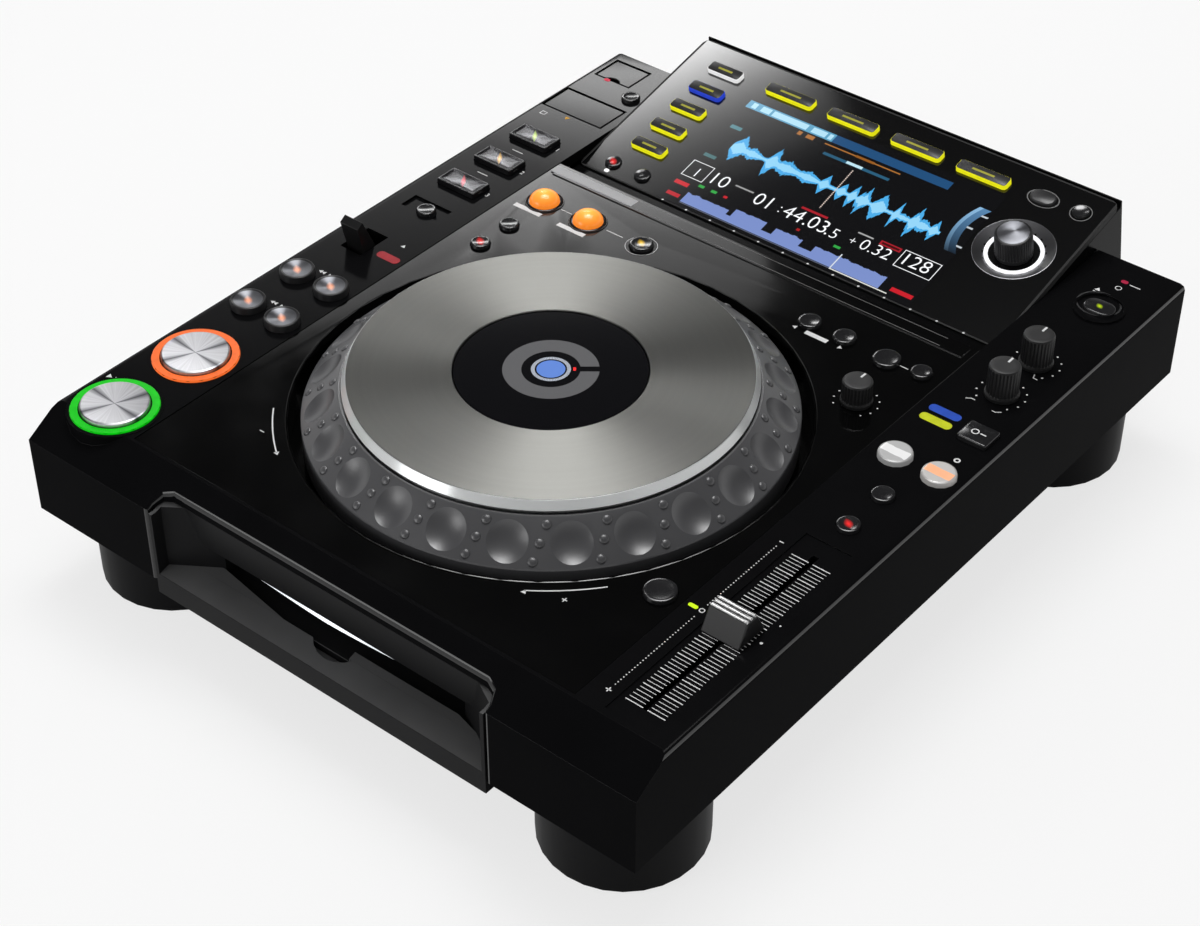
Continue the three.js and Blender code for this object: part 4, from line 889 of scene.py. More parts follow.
shades += [
    (box_mask(-56, 51, OVERVIEW_LOW, -42.2), steel_blue),
    (box_mask(26, 56, -46.6, -46.0), (0.75, 0.75, 0.7)),
    (box_mask(-56, 26, -46.5, -46.1), (0.12, 0.14, 0.2)),
    (box_mask(26, 26.6, -46.5, -36.6), (0.7, 0.75, 0.8)),
    (box_mask(-66, -58.5, -37.2, -34.8), red),
    (box_mask(-65, -58, -44.6, -42.4), (0.5, 0.01, 0.02)),
    (box_mask(56, 67, -44.2, -41.8), red),
    (box_mask(-6, 8, -22.2, -20.9), (0.4, 0.01, 0.02)),
    (box_mask(36.3, 47.1, -23.4, -20.8), (0.4, 0.01, 0.02)),
    (box_mask(37.2, 46.2, -22.7, -21.5), (0.05, 0, 0)),
    (box_mask(-54.5, -51.5, -34.2, -32.6), green),
    (box_mask(-47.5, -44.5, -34.2, -32.6), green),
    (box_mask(20, 23.4, -34.8, -33.4), green),
    (box_mask(-40.5, -38.5, -34.2, -32.8), red),
    (box_mask(0, 1.6, -34.6, -33.2), (0.4, 0.01, 0.01)),
]
gauge_r = about((u, v), (90, 3.4))[2]
gauge = gauge_r.between(26.5, 31.6) * v.between(-12, 17.5)
fade = ((v + 14) * 0.026).held()
shades.append((gauge * fade, (0.12, 0.3, 0.55)))
shades.append((gauge * (gauge_r > 29.8) * fade, (0.3, 0.55, 0.8)))
for mark_v in (13.1, 4.3, -7.6):
    shades.append((gauge_r.between(23.6, 26.6) * (abs(v - mark_v) < 0.5), (0.55, 0.6, 0.65)))
for mask, tint in shades:
    ink = panel_skin.blend(mask, ink, tint)
panel_skin.set("Base Color", (0.004, 0.004, 0.005))
panel_skin.set("Roughness", panel_skin.noise(900, 1) * 0.03 + 0.055)
panel_skin.set("Emission Color", ink)
dress(panel, panel_skin, "chassis", "screen_black")


# ---------------------------------------------------------------- Digits on the panel
# Time, tempo and track numbers of the lit panel, and a thin frame round two of them.
# Each is a flat lit shape just over the panel.

DIGIT_LIFT = 0.14
DIGIT_WHITE = (0.75, 0.76, 0.78)
# Text, middle across and up the glass, height.
DIGITS = [
    ("01", -22.6, -27.2, 8), ("44", -6.4, -27.2, 8), ("03", 7, -27.2, 8), ("5", 16.2, -28.2, 6.4),
    ("+", 25.5, -27.8, 5), ("0.32", 37.2, -27.2, 6.8), ("128", 56.8, -25.4, 7.6),
    ("10", -48.4, -26.4, 8), ("1", -60.2, -27.4, 6), (":", -13.6, -27, 6), (".", 0.6, -27.2, 8),
    (".", 12.4, -27.2, 8),
]
LINE_PER_DIGIT = 1.36
STROKE_THIN = 0.1
# Left, right, foot and top.
FRAMES = [(48.6, 67.4, -31, -20.4), (-66.4, -54.6, -31.4, -20.8)]


def lettered(text, high, thin=0):
    """A number or sign made of flat strokes about its middle."""
    bare()
    bpy.ops.object.text_add()
    made = bpy.context.object
    made.data.body = text
    made.data.align_x = made.data.align_y = "CENTER"
    made.data.size = high * LINE_PER_DIGIT * MM
    made.data.offset = -thin * MM
    made.data.resolution_u = 3
    bpy.ops.object.convert(target="MESH")
    return bpy.context.object


def outline(low_x, high_x, low_y, high_y):
    bare()
    bpy.ops.mesh.primitive_plane_add(size=1)
    made = bpy.context.object
    made.location = ((low_x + high_x) / 2 * MM, (low_y + high_y) / 2 * MM, 0)
    made.scale = ((high_x - low_x) * MM, (high_y - low_y) * MM, 1)
    settle()
    edit(made)
    pick_all()
    bpy.ops.mesh.inset(thickness=0.35 * MM)
    bpy.ops.mesh.delete(type="FACE")
    leave()
    return made


def glowing(name, colour, strength=1.0):
    """Something lit from behind, a little brighter in some places than in others."""
    skin = Skin(name, Roughness=0.35, Emission_Strength=strength)
    skin.set("Specular IOR Level", 0.15)
    patch = skin.noise(320, 1)
    tone = skin.blend(patch, shade(colour, 0.8), shade(colour, 1.15))
    skin.set("Base Color", skin.blend(patch, shade(colour, 0.3), shade(colour, 0.45)))
    skin.set("Emission Color", tone)
    return skin


digits = []
for text, x, y, high in DIGITS:
    digits.append(lettered(text, high, STROKE_THIN))
    digits[-1].data.transform(Matrix.Translation((x * MM, y * MM, 0)))
digits = joined("panel_digits", digits + [outline(*row) for row in FRAMES])
digits.data.transform(Matrix.Translation((0, 0, DIGIT_LIFT * MM)))
on_face(digits)
dress(digits, glowing("digit_glow", DIGIT_WHITE), "chassis", "lamp_white")


# ---------------------------------------------------------------- Display keys
# Five source keys and four browse keys: a clear moulded key lit from inside, with a black
# cap glued on its top. Each clips into its own guide under the glass.

SOURCE_KEY_U = -89.04
SOURCE_KEY_V = (33.41, 18.56, 4.21, -10.89, -25.25)
SOURCE_KEY_WIDE = 18
BROWSE_KEY_U = (-52.3, -17.47, 17.47, 52.3)
BROWSE_KEY_V = 34.65
BROWSE_KEY_WIDE = 26
KEY_DEEP = 6.2
KEY_RIM = 0.25
KEY_FOOT = -3.2
KEY_TOP = 2.0
KEY_CAP_TOP = 2.2
KEY_YELLOW = (0.86, 0.83, 0.01)
KEY_BLUE = (0.02, 0.05, 0.52)
KEY_WHITE = (0.85, 0.85, 0.85)
KEY_MARK = (0.3, 0.29, 0.02)
CAP_BLACK = (0.02, 0.02, 0.021)


def slab(name, middle, wide, deep, low, high, **edges):
    """A block given by the middle and the size of its top."""
    across, along = ((at - size / 2, at + size / 2) for at, size in zip(middle, (wide, deep)))
    return block(name, across, along, (low, high), **edges)


yellow_glow = glowing("key_yellow_glow", KEY_YELLOW, 0.8)
blue_glow = glowing("key_blue_glow", KEY_BLUE, 0.9)
white_glow = glowing("key_white_glow", KEY_WHITE, 0.8)
mark_glow = glowing("key_mark_glow", KEY_MARK, 0.8)
cap_skin = moulded("key_cap_black", CAP_BLACK, 0.25, gloss=0.3, grain=0)
other_glows = {"source_key_1": (white_glow, "key_white"), "source_key_2": (blue_glow, "key_blue")}
keys = [
    (f"source_key_{i + 1}", (SOURCE_KEY_U, v), SOURCE_KEY_WIDE) for i, v in enumerate(SOURCE_KEY_V)
] + [
    (f"browse_key_{i + 1}", (u, BROWSE_KEY_V), BROWSE_KEY_WIDE) for i, u in enumerate(BROWSE_KEY_U)
]
for node, at, wide in keys:
    glow, slot = other_glows.get(node, (yellow_glow, "key_yellow"))
    key = slab(node + "_light", at, wide, KEY_DEEP, KEY_FOOT, KEY_TOP, corner=1.4, brow=0.2)
    lid = slab(
        node + "_lid", at, wide - 2 * KEY_RIM, KEY_DEEP - 2 * KEY_RIM, KEY_TOP - 0.1, KEY_CAP_TOP,
        corner=1.2, brow=0.1,
    )
    label = slab(node + "_mark", at, wide * 0.44, 1.1, KEY_CAP_TOP - 0.05, KEY_CAP_TOP + 0.03)
    on_face(key, lid, label)
    dress(key, glow, node, slot, node)
    dress(lid, cap_skin, node, "button_black")
    dress(label, mark_glow, node, "key_yellow")


# ---------------------------------------------------------------- Round buttons
# Small moulded buttons on the deck, the strips and the glass: a foot that stays under the
# panel, a straight skirt and a dished or domed top. Search and track have a metal disc.

FOOT_REACH = 1.2
FOOT_T = 1
LIT_ORANGE = (1.0, 0.28, 0.06)
LIT_RED = (1.0, 0.02, 0.02)
LIT_YELLOW = (1.0, 0.6, 0.02)
METAL_TOPPED = ("search_back", "search_forward", "track_back", "track_forward")
METAL_BUTTON_R = 7.6
METAL_DISC_R = 6.2
# Radius, colour of the lit mark and its reach.
PLAIN_BUTTONS = {
    "record_mode_button": (4.4, None, 0),
    "usb_stop_button": (4.4, None, 0),
    "tempo_range_button": (4.7, None, 0),
    "master_tempo_button": (4.7, LIT_RED, 3),
    "reloop_button": (5.3, LIT_YELLOW, 3),
    "slip_button": (4.4, None, 0),
    "quantize_button": (4.4, LIT_RED, 3.4),
    "call_back_button": (4.9, None, 0),
    "call_forward_button": (4.9, None, 0),
    "delete_button": (5.8, None, 0),
    "memory_button": (4.4, None, 0),
    "tempo_reset_button": (6.5, None, 0),
}
GLASS_BUTTON_R = 3.8
BACK_AT = (82.43, 35.39)
TAG_AT = (101.0, 35.9)
GLASS_BUTTONS = {
    "time_mode_button": ((-97.8, -41.2), LIT_RED),
    "auto_cue_button": ((-80.6, -41.5), None),
    "tag_button": (TAG_AT, None),
}


def foot(r, low):
    return [(r + FOOT_REACH, low), (r + FOOT_REACH, low + FOOT_T), (r, low + FOOT_T)]


def cap_profile(r, low, high, dish=0.3, edge=0.5):
    """A button from its foot under the panel to the middle of its top."""
    rim = [(r, high - edge), (r - edge * 0.3, high - edge * 0.3), (r - edge, high)]
    bowl = [((r - edge) * share, high - dish * (1 - share**2)) for share in (0.85, 0.65, 0.4, 0.1)]
    return foot(r, low) + rim + bowl


def middle_of(node):
    low, high = (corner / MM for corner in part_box(node))
    return (low + high) / 2, low.z, high.z


def dark_button(node, at, lit=None, lit_r=0, metal_r=0, on_glass=False):
    """The surface of a button: black at the skirt, turned metal inside metal_r and a lit
    mark in the middle."""
    skin = Skin(node + "_finish", Roughness=0.13, Emission_Strength=1.0 if lit else 0.0)
    skin.set("Specular IOR Level", 0.3 if metal_r else 0.55)
    dx, dy, radius = about(face_place(skin) if on_glass else skin.place(), at)
    colour = skin.blend(skin.noise(900, 2), (0.008, 0.008, 0.009), (0.02, 0.02, 0.021))
    if metal_r:
        inside, fine = radius < metal_r, skin.lines(radius * 9, 2)
        metal = skin.blend(fine, (0.1, 0.102, 0.11), (0.18, 0.185, 0.2))
        colour = skin.blend(inside, colour, metal)
        skin.set("Metallic", inside)
        skin.set("Roughness", fine * 0.1 + 0.26)
        skin.set("Anisotropic", 0.92)
        skin.set("Anisotropic Rotation", 0.25)
    skin.set("Base Color", colour)
    if lit:
        slant = abs(dx * 0.6 + dy * 0.8) - 0.35
        spread = 1 - (radius * (1 / lit_r) + slant * 0.25).held()
        skin.set("Emission Color", skin.blend(spread, (0, 0, 0), lit))
    return skin


for name in METAL_TOPPED:
    node = name + "_button"
    at, low, high = middle_of(node)
    cap = turned(node + "_cap", cap_profile(METAL_BUTTON_R, low, high, 1.0), at, 56)
    skin = dark_button(node, at, LIT_ORANGE, 3.4, METAL_DISC_R)
    dress(cap, skin, node, "cap_metal", node)

for node, (r, lit, lit_r) in PLAIN_BUTTONS.items():
    at, low, high = middle_of(node)
    cap = turned(node + "_cap", cap_profile(r, low, high), at, 56)
    dress(cap, dark_button(node, at, lit, lit_r), node, "button_black", node)

for node, (at, lit) in GLASS_BUTTONS.items():
    cap = turned(node + "_cap", cap_profile(GLASS_BUTTON_R, -4.3, 1.4), at, 40)
    on_face(cap)
    dress(cap, dark_button(node, at, lit, 3, on_glass=True), node, "button_black", node)

back = slab("back_key", BACK_AT, 12.4, 8, KEY_FOOT, 1.4, corner=3.8, brow=0.8, corner_steps=8)
on_face(back)
dress(back, cap_skin, "back_button", "button_black", "back_button")


# ---------------------------------------------------------------- Loop buttons
# Two clear domes lit amber from below, each with a black flange, in a black ring pressed
# into the deck.

FLANGE_R = 7.9
FLANGE_TOP = 80.1
DOME_R = 6.8
DOME_SKIRT = 0.4
DOME_STEPS = (0.98, 0.9, 0.75, 0.55, 0.3, 0.08)
LOOP_RING = [(8.1, 79.2), (8.8, 79.2), (8.8, 79.9), (8.6, 80.2), (8.3, 80.2), (8.1, 80.0)]
FLANGE_BLACK = (0.006, 0.006, 0.006)
AMBER_EDGE = (0.85, 0.22, 0.02)
AMBER_TOP = (1.0, 0.48, 0.08)

for node in ("loop_in_button", "loop_out_button"):
    at, low, high = middle_of(node)
    rise = high - FLANGE_TOP - DOME_SKIRT
    profile = foot(FLANGE_R, low) + [
        (FLANGE_R, FLANGE_TOP - 0.3), (FLANGE_R - 0.3, FLANGE_TOP),
        (DOME_R, FLANGE_TOP), (DOME_R, FLANGE_TOP + DOME_SKIRT),
    ]
    for share in DOME_STEPS:
        profile.append((DOME_R * share, high - rise * (1 - math.sqrt(1 - share**2))))
    dome = turned(node + "_dome", profile, at)
    skin = Skin(node + "_amber", Roughness=0.2, Emission_Strength=0.85)
    radius = about(skin.place(), at)[2]
    tone = (1 - radius * (1 / DOME_R) + (skin.noise(500, 1) - 0.5) * 0.2).held()
    clear = radius < DOME_R + 0.05
    amber = skin.blend(tone, shade(AMBER_EDGE, 0.5), shade(AMBER_TOP, 0.6))
    lit = skin.blend(tone, AMBER_EDGE, AMBER_TOP)
    skin.set("Base Color", skin.blend(clear, FLANGE_BLACK, amber))
    skin.set("Emission Color", skin.blend(clear, (0, 0, 0), lit))
    dress(dome, skin, node, "lamp_amber", node, smooth=50)
    ring = turned(node + "_ring", LOOP_RING, at, hollow=True)
    dress(ring, cap_skin, "chassis", "button_black")


# ---------------------------------------------------------------- Play and cue
# Two large turned aluminium buttons at the front left, each inside a clear ring lit green
# or orange. The rings are pressed into the case, the buttons sit on switches under them.

PLAY_R = 14.2
GLOW_RING = [
    (14.55, 79.8), (18.05, 79.8), (18.05, 80.6), (17.7, 80.95), (14.9, 80.95), (14.55, 80.6),
]
PLAY_GREEN = (0.0, 0.42, 0.003)
CUE_ORANGE = (0.72, 0.125, 0.022)
PLAY_SILVER = (0.5, 0.5, 0.52)
# Colour and angles of dark streaks painted into the aluminium as its reflection.
PAINTED_STREAK_DARK = (0.08, 0.08, 0.09)
PAINTED_STREAK_ANGLES = (-3.5, 65)


def rays(dx, dy, radius, angles, blunt, narrow):
    """Straight lines through a button's middle that fade to both sides."""
    total = 0
    for angle in angles:
        turn = math.radians(angle)
        aside = abs(dy * math.cos(turn) - dx * math.sin(turn)) / (radius + blunt)
        total = (1 - aside * narrow).held() + total
    return total


def brushed(name, at):
    """Aluminium brushed outwards from its middle, with dark lines painted through it as the
    streaks of its reflection.
    """
    skin = Skin(name, Metallic=1.0)
    dx, dy, radius = about(skin.place(), at)
    fine = skin.lines(dy.math("ARCTAN2", dx) * 9, 3)
    tone = skin.blend(fine, shade(PLAY_SILVER, 0.7), shade(PLAY_SILVER, 1.2))
    # Painted reflection: dark streaks through the middle at fixed angles.
    dark = rays(dx, dy, radius, PAINTED_STREAK_ANGLES, 0.6, 5).held()
    skin.set("Base Color", skin.blend(dark, tone, PAINTED_STREAK_DARK))
    skin.set("Roughness", fine * 0.1 + 0.28)
    skin.bump(fine, 0.01)
    return skin


for node, tint, slot in (
    ("play_button", PLAY_GREEN, "lamp_white"), ("cue_button", CUE_ORANGE, "lamp_amber"),
):
    at, low, high = middle_of(node)
    cap = turned(node + "_disc", cap_profile(PLAY_R, low, high, 0.4, 0.8), at, 96)
    dress(cap, brushed(node + "_aluminium", at), node, "button_metal", node, smooth=25)
    ring = turned(node + "_light", GLOW_RING, at, 96, hollow=True)
    dress(ring, glowing(node + "_glow", tint), "chassis", slot)


# ---------------------------------------------------------------- Hot cue pads
# Three wide keys with a shallow polished dish in their top, each lit in its own colour from
# the middle of the dish.

PAD_WIDE = 22
PAD_DEEP = 11.8
PAD_TINTS = {
    "hot_cue_a_pad": (0.55, 0.85, 0.02), "hot_cue_b_pad": (1.0, 0.5, 0.02),
    "hot_cue_c_pad": (1.0, 0.02, 0.06),
}
PAD_BLACK = (0.006, 0.006, 0.007)
PAD_METAL = ((0.02, 0.02, 0.021), (0.11, 0.11, 0.115))
PAD_FLAT = (20.9, 10.7)
PAD_DISH = ((0.5, 0), (0.3, 0.12), (1.6, 0.1), (1.9, 0.06), (1.2, 0.02))
PAD_LINES = (35, 150)

for node, tint in PAD_TINTS.items():
    at, low, high = middle_of(node)
    pad = slab(node + "_key", at, PAD_WIDE, PAD_DEEP, low + FOOT_T, high, corner=1.2, brow=0.5)
    edit(pad)
    pick("FACE", lambda spot, normal: spot.z > high - 0.02 and normal.z > 0.9)
    wide, deep = PAD_FLAT
    for inset, drop in PAD_DISH:
        lower = {"value": (0, 0, -drop * MM)}
        bpy.ops.mesh.extrude_region_move(TRANSFORM_OT_translate=lower)
        shrink = ((wide - 2 * inset) / wide, (deep - 2 * inset) / deep, 1)
        bpy.ops.transform.resize(value=shrink, center_override=(at.x * MM, at.y * MM, 0))
        wide, deep = wide - 2 * inset, deep - 2 * inset
    leave()
    skin = Skin(node + "_finish", Roughness=0.22, Emission_Strength=1.0)
    place = skin.place()
    dx, dy, radius = about(place, at)
    top = (abs(dx) < 10) * (abs(dy) < 4.9) * (place[2] > high - 1.2)
    fine = skin.lines(dy.math("ARCTAN2", dx) * 3, 1)
    tone = (rays(dx, dy, radius, PAD_LINES, 1.5, 1.7) * 0.9 + (fine - 0.5) * 0.06).held()
    skin.set("Metallic", top)
    skin.set("Base Color", skin.blend(top, PAD_BLACK, skin.blend(tone, *PAD_METAL)))
    slant = abs(dx * 0.8 + dy * 0.6)
    spread = (1.1 - slant * 0.7 - (abs(dx) + abs(dy)) * 0.14).held() * top
    skin.set("Emission Color", skin.blend(spread, (0, 0, 0), tint))
    dress(pad, skin, node, "cap_metal", node, smooth=25)


# ---------------------------------------------------------------- Knobs
# Two speed knobs, the jog tension knob and the display's selector: black moulded caps with
# fine upright ribs and a white pointer, pushed on to their shafts.

RIB_STEP = 4
RIB_DEPTH = 0.95
POINTER_WIDE = 0.9
POINTER_FROM = 2.2
SHAFT_R = 3
KNOB_RIBS = 28
# Radius of the cap and of its foot, and the cap's height.
KNOBS = {
    "stop_speed_knob": (6.6, 7.2, 14.7), "start_speed_knob": (6.6, 7.2, 14.7),
    "jog_adjust_knob": (6.3, 6.7, 10.5),
}
KNOB_BLACK = (0.012, 0.012, 0.0125)
PRINT_WHITE = (0.72, 0.72, 0.72)
SELECTOR_AT = (87.92, 3.27)
SELECTOR_R = 8.3
SELECTOR_RIBS = 40
SELECTOR_GLOW = [
    (11.2, -2.5), (13.0, -2.5), (13.0, -1.9), (12.7, -1.6), (11.5, -1.6), (11.2, -1.9),
]
SELECTOR_DISH = [(13.1, -2.5), (18.1, -0.12), (18.1, 0.0), (17.9, 0.04), (13.1, -2.3)]


def knob(name, at, low, seat, high, r, foot_r, ribs):
    """A ribbed knob on a shaft: the shaft from low to seat, the cap from seat to high."""
    profile = [
        (SHAFT_R, low), (SHAFT_R, seat), (foot_r, seat), (foot_r, seat + 1.3),
        (r + 0.1, seat + 1.7), (r, seat + 2.2), (r, high - 1.1), (r - 0.15, high - 0.7),
        (r - 0.6, high - 0.15), (r - 1.1, high), (r * 0.5, high - 0.12), (0.3, high - 0.15),
    ]
    cap = turned(name, profile, at, ribs * RIB_STEP)
    edit(cap)
    bpy.ops.mesh.select_mode(type="VERT")

    def groove(spot, normal):
        step = math.atan2(spot.y - at[1], spot.x - at[0]) * ribs * RIB_STEP / (2 * math.pi)
        away = math.hypot(spot.x - at[0], spot.y - at[1])
        on_side = seat + 2 < spot.z < high - 0.9 and away > r - 0.3
        return on_side and round(step) % RIB_STEP in (0, 1)

    pick("VERT", groove)
    middle = (at[0] * MM, at[1] * MM, 0)
    bpy.ops.transform.resize(value=(RIB_DEPTH, RIB_DEPTH, 1), center_override=middle)
    leave()
    return cap


knob_skin = moulded("knob_rubber", KNOB_BLACK, 0.42, gloss=0.35, grain=0.01)
print_skin = moulded("white_print", PRINT_WHITE, 0.5, gloss=0.3, grain=0.004, uneven=0.06)
for node, (r, foot_r, tall) in KNOBS.items():
    at, low, high = middle_of(node)
    cap = knob(node + "_cap", at, low, high - tall, high, r, foot_r, KNOB_RIBS)
    dress(cap, knob_skin, node, "knob_black", node, smooth=28)
    across = (at.x - POINTER_WIDE / 2, at.x + POINTER_WIDE / 2)
    along, thick = (at.y + POINTER_FROM, at.y + r - 1), (high - 0.3, high + 0.06)
    pointer = block(node + "_pointer", across, along, thick, corner=0.2)
    dress(pointer, print_skin, node, "key_white")

cap = knob("selector_cap", SELECTOR_AT, -9.6, -2.1, 9.9, SELECTOR_R, SELECTOR_R, SELECTOR_RIBS)
on_face(cap)
selector_skin = dark_button("selector_knob", SELECTOR_AT, metal_r=6.9, on_glass=True)
dress(cap, selector_skin, "selector_knob", "knob_black", "selector_knob", smooth=28)
glow_ring = turned("selector_light", SELECTOR_GLOW, SELECTOR_AT, 72, hollow=True)
dish = turned("selector_dish", SELECTOR_DISH, SELECTOR_AT, 72, hollow=True)
on_face(glow_ring, dish)
dress(glow_ring, glowing("selector_glow", (0.95, 0.96, 1.0)), "chassis", "lamp_white")
dish_skin = moulded("selector_dish_metal", (0.2, 0.2, 0.21), 0.3, gloss=0.5, grain=0)
dish_skin.set("Metallic", 1.0)
dress(dish, dish_skin, "chassis", "cap_metal")


# ---------------------------------------------------------------- Lit caps and square keys
# Sync and master are clear domes over a lamp, eject sits in a round recess with a small
# lamp in its middle, and the jog mode key is a plain black square.

LIT_CAP_R = 7.1
LIT_CAP_RIM = 6.2
# Colour of the lit middle and of the rest, and the slot.
LIT_CAPS = {
    "sync_button": ((0.8, 0.8, 0.8), (0.3, 0.3, 0.3), "lamp_white"),
    "master_button": ((1.0, 0.3, 0.02), (0.35, 0.34, 0.33), "lamp_amber"),
}
EJECT_GREEN = (0.55, 0.75, 0.0)

for node, (label_tint, edge_tint, slot) in LIT_CAPS.items():
    at, low, high = middle_of(node)
    cap = turned(node + "_cap", cap_profile(LIT_CAP_R, low, high, 0.1, 0.9), at, 56)
    skin = Skin(node + "_glow", Roughness=0.2, Emission_Strength=0.75)
    dx, dy, radius = about(skin.place(), at)
    patch = skin.noise(260, 2)
    label = (abs(dx) < 6) * (abs(dy + (patch - 0.5)) < 2.3)
    tone = skin.blend(label, edge_tint, label_tint)
    skin.set("Base Color", skin.blend(patch, shade(edge_tint, 0.8), edge_tint))
    skin.set("Emission Color", skin.blend(radius > LIT_CAP_RIM, tone, shade(edge_tint, 0.4)))
    dress(cap, skin, node, slot, node)

for node, name, wide, deep, edges, lit in (
    ("eject_button", "eject_key", 14, 9.6, {"corner": 4.6, "brow": 0.5, "corner_steps": 8},
     EJECT_GREEN),
    ("jog_mode_button", "jog_mode_key", 13.4, 11.8, {"corner": 1.2, "brow": 0.6}, None),
):
    at, low, high = middle_of(node)
    key = slab(name, at, wide, deep, low + FOOT_T, high, **edges)
    dress(key, dark_button(node, at, lit, 2.0), node, "button_black", node)


# ---------------------------------------------------------------- Lever and doors
# The direction lever is a tapered black fin that rocks on a pin under the strip. The card
# door and the USB cover are thin moulded lids hinged at their rear edge.

lever_skin = moulded("lever_black", KNOB_BLACK, 0.3, gloss=0.35, grain=0.008)
refined("direction_lever", lever_skin, "knob_black", edge=0.5, steps=3)
for node in ("card_door", "usb_cover"):
    refined(node, case_skin, "case_black", edge=0.35)


# ---------------------------------------------------------------- Tempo slider
# A cast cap with silver ribs along its crest and sloped black sides, on a thin steel blade
# that runs in the slot of its tray.

SLIDER_SILVER = (0.5, 0.5, 0.5)
SLIDER_RIBS = (-2.3, 0, 2.3)

slider_skin = moulded("slider_plastic", KNOB_BLACK, 0.32, gloss=0.35)
refined("tempo_slider", slider_skin, "slider_metal", edge=0.5, steps=3)
silver_skin = moulded("slider_silver", SLIDER_SILVER, 0.3, gloss=0.5, grain=0)
silver_skin.set("Metallic", 1.0)
at, low, high = middle_of("tempo_slider")
for i, along in enumerate(SLIDER_RIBS):
    rib = slab(
        f"slider_rib_{i + 1}", (at.x, at.y + along), 16.6, 1.5, high - 0.6, high + 0.45,
        corner=0.3, brow=0.4,
    )
    dress(rib, silver_skin, "tempo_slider", "slider_metal")


# ---------------------------------------------------------------- Printing and small lamps
# Marks screen printed on the panels, most of them white: tick scales, dots, arrows, numbers
# and plain symbols. The small lamps are coloured windows pressed in from above.

STRIP_TOP = 80
TRAY_TOP = 79.4
DECK_TOP = 79.7
TOUCH_TOP = 80.2
INK = 0.05
TRAY_SIDES = (130.65, 140.45)
SCALE_X = 120.2
DOT_STEP = 1.55
GREY_PRINT = (0.16, 0.16, 0.16)
FILM_GREY = (0.3, 0.3, 0.31)
# Black painted as the shade in the door gaps.
GAP_PAINTED_SHADE = (0.0008, 0.0008, 0.0008)
GAP_WIDE = 0.85
ARROW_ORANGE = (0.6, 0.3, 0.02)
SURROUND_GREY = (0.03, 0.03, 0.031)
# Kind, middle, size or radius, second size or text, turn: what mark() takes.
STRIP_MARKS = [
    ("bar", 120, -170.25, 2.4, 0.5), ("bar", 120, -170.25, 0.5, 2.4),
    ("bar", 120.4, -68.75, 2, 0.5), ("ring", 120.4, -117.45, 1.2, 0.4),
    ("dot", 147.2, -117.75, 0.6), ("dot", 147.2, -106.25, 0.4),
    ("triangle", -150.2, -158.25, 1.5, 0, -90), ("bar", -147.3, -158.25, 0.6, 2.4),
    ("bar", -146, -158.25, 0.6, 2.4), ("text", -120.2, 38.75, 2.6, "3"),
    ("text", -120.2, 62.45, 2.6, "2"), ("text", -120.2, 87.15, 2.6, "1"),
    ("bar", -133.5, 50.55, 6, 0.4), ("bar", -133.5, 74.75, 6, 0.4),
    ("triangle", -121.5, -14.75, 1.3), ("ring", 133.8, 154.25, 1.5, 0.35),
    ("bar", 138.9, 159.25, 5, 0.5), ("triangle", 127.5, 147.95, 1.5),
    ("bar", 127.5, 146.05, 2.6, 0.5), ("ring", 144.5, 13.35, 1.4, 0.7),
    ("bar", -146.4, 109.4, 2.6, 0.4), ("bar", -146.4, 107, 2.6, 0.4),
    ("bar", -147.7, 108.2, 0.4, 2.6), ("bar", -145.1, 108.2, 0.4, 2.6),
    ("bar", 126.2, 49.6, 2.2, 0.4, 35), ("bar", 128, 50.3, 1.8, 0.4),
    ("bar", 138.8, 48.6, 1.8, 0.4), ("bar", 140.6, 49.4, 2.2, 0.4, 35),
    ("bar", 138.8, 78.8, 0.4, 2.2, 20), ("bar", 140.1, 77.4, 2.2, 0.4),
]
ARROW_PAIRS = ((-132.5, -79.75), (-132.5, -50.75))
DECK_MARKS = [
    ("bar", -99.1, 41.75, 15, 2.6), ("bar", -74, 41.55, 15, 2.6), ("bar", 54.9, 45.15, 11, 2.4),
    ("bar", -84.6, 51.15, 6, 0.4), ("bar", -57.2, 51.15, 9, 0.4), ("bar", 94.8, 50.55, 4, 0.4),
    ("triangle", 44, 45.25, 1.3, 0, 90), ("triangle", 66.6, 45.15, 1.3, 0, -90),
    ("ring", -42.4, 51.25, 7.2, 0.2),
]
# Middle, level, width, depth, colour, slot.
LAMPS = {
    "usb_lamp": (-142.3, 150.25, STRIP_TOP, 3.2, 2.2, (0.5, 0.02, 0.05), "lamp_white"),
    "standby_lamp": (133.6, 159.85, STRIP_TOP, 3.2, 2.2, (0.3, 0.01, 0.04), "lamp_white"),
    "reverse_lamp": (-120.8, -25.05, STRIP_TOP, 12, 4.4, (0.23, 0.0, 0.006), "lamp_white"),
    "upper_mode_lamp": (124.3, 35.75, STRIP_TOP, 14.5, 4.4, (0.014, 0.055, 0.34), "lamp_white"),
    "lower_mode_lamp": (124.3, 28.95, STRIP_TOP, 14.5, 4.4, (0.4, 0.44, 0.01), "key_yellow"),
    "tempo_zero_lamp": (116.4, -117.45, STRIP_TOP, 4.2, 1.8, (0.5, 0.75, 0.0), "key_yellow"),
    "time_lamp": (-97.6, -46.6, 0, 2.6, 2.0, (0.8, 0.8, 0.8), "lamp_white"),
}


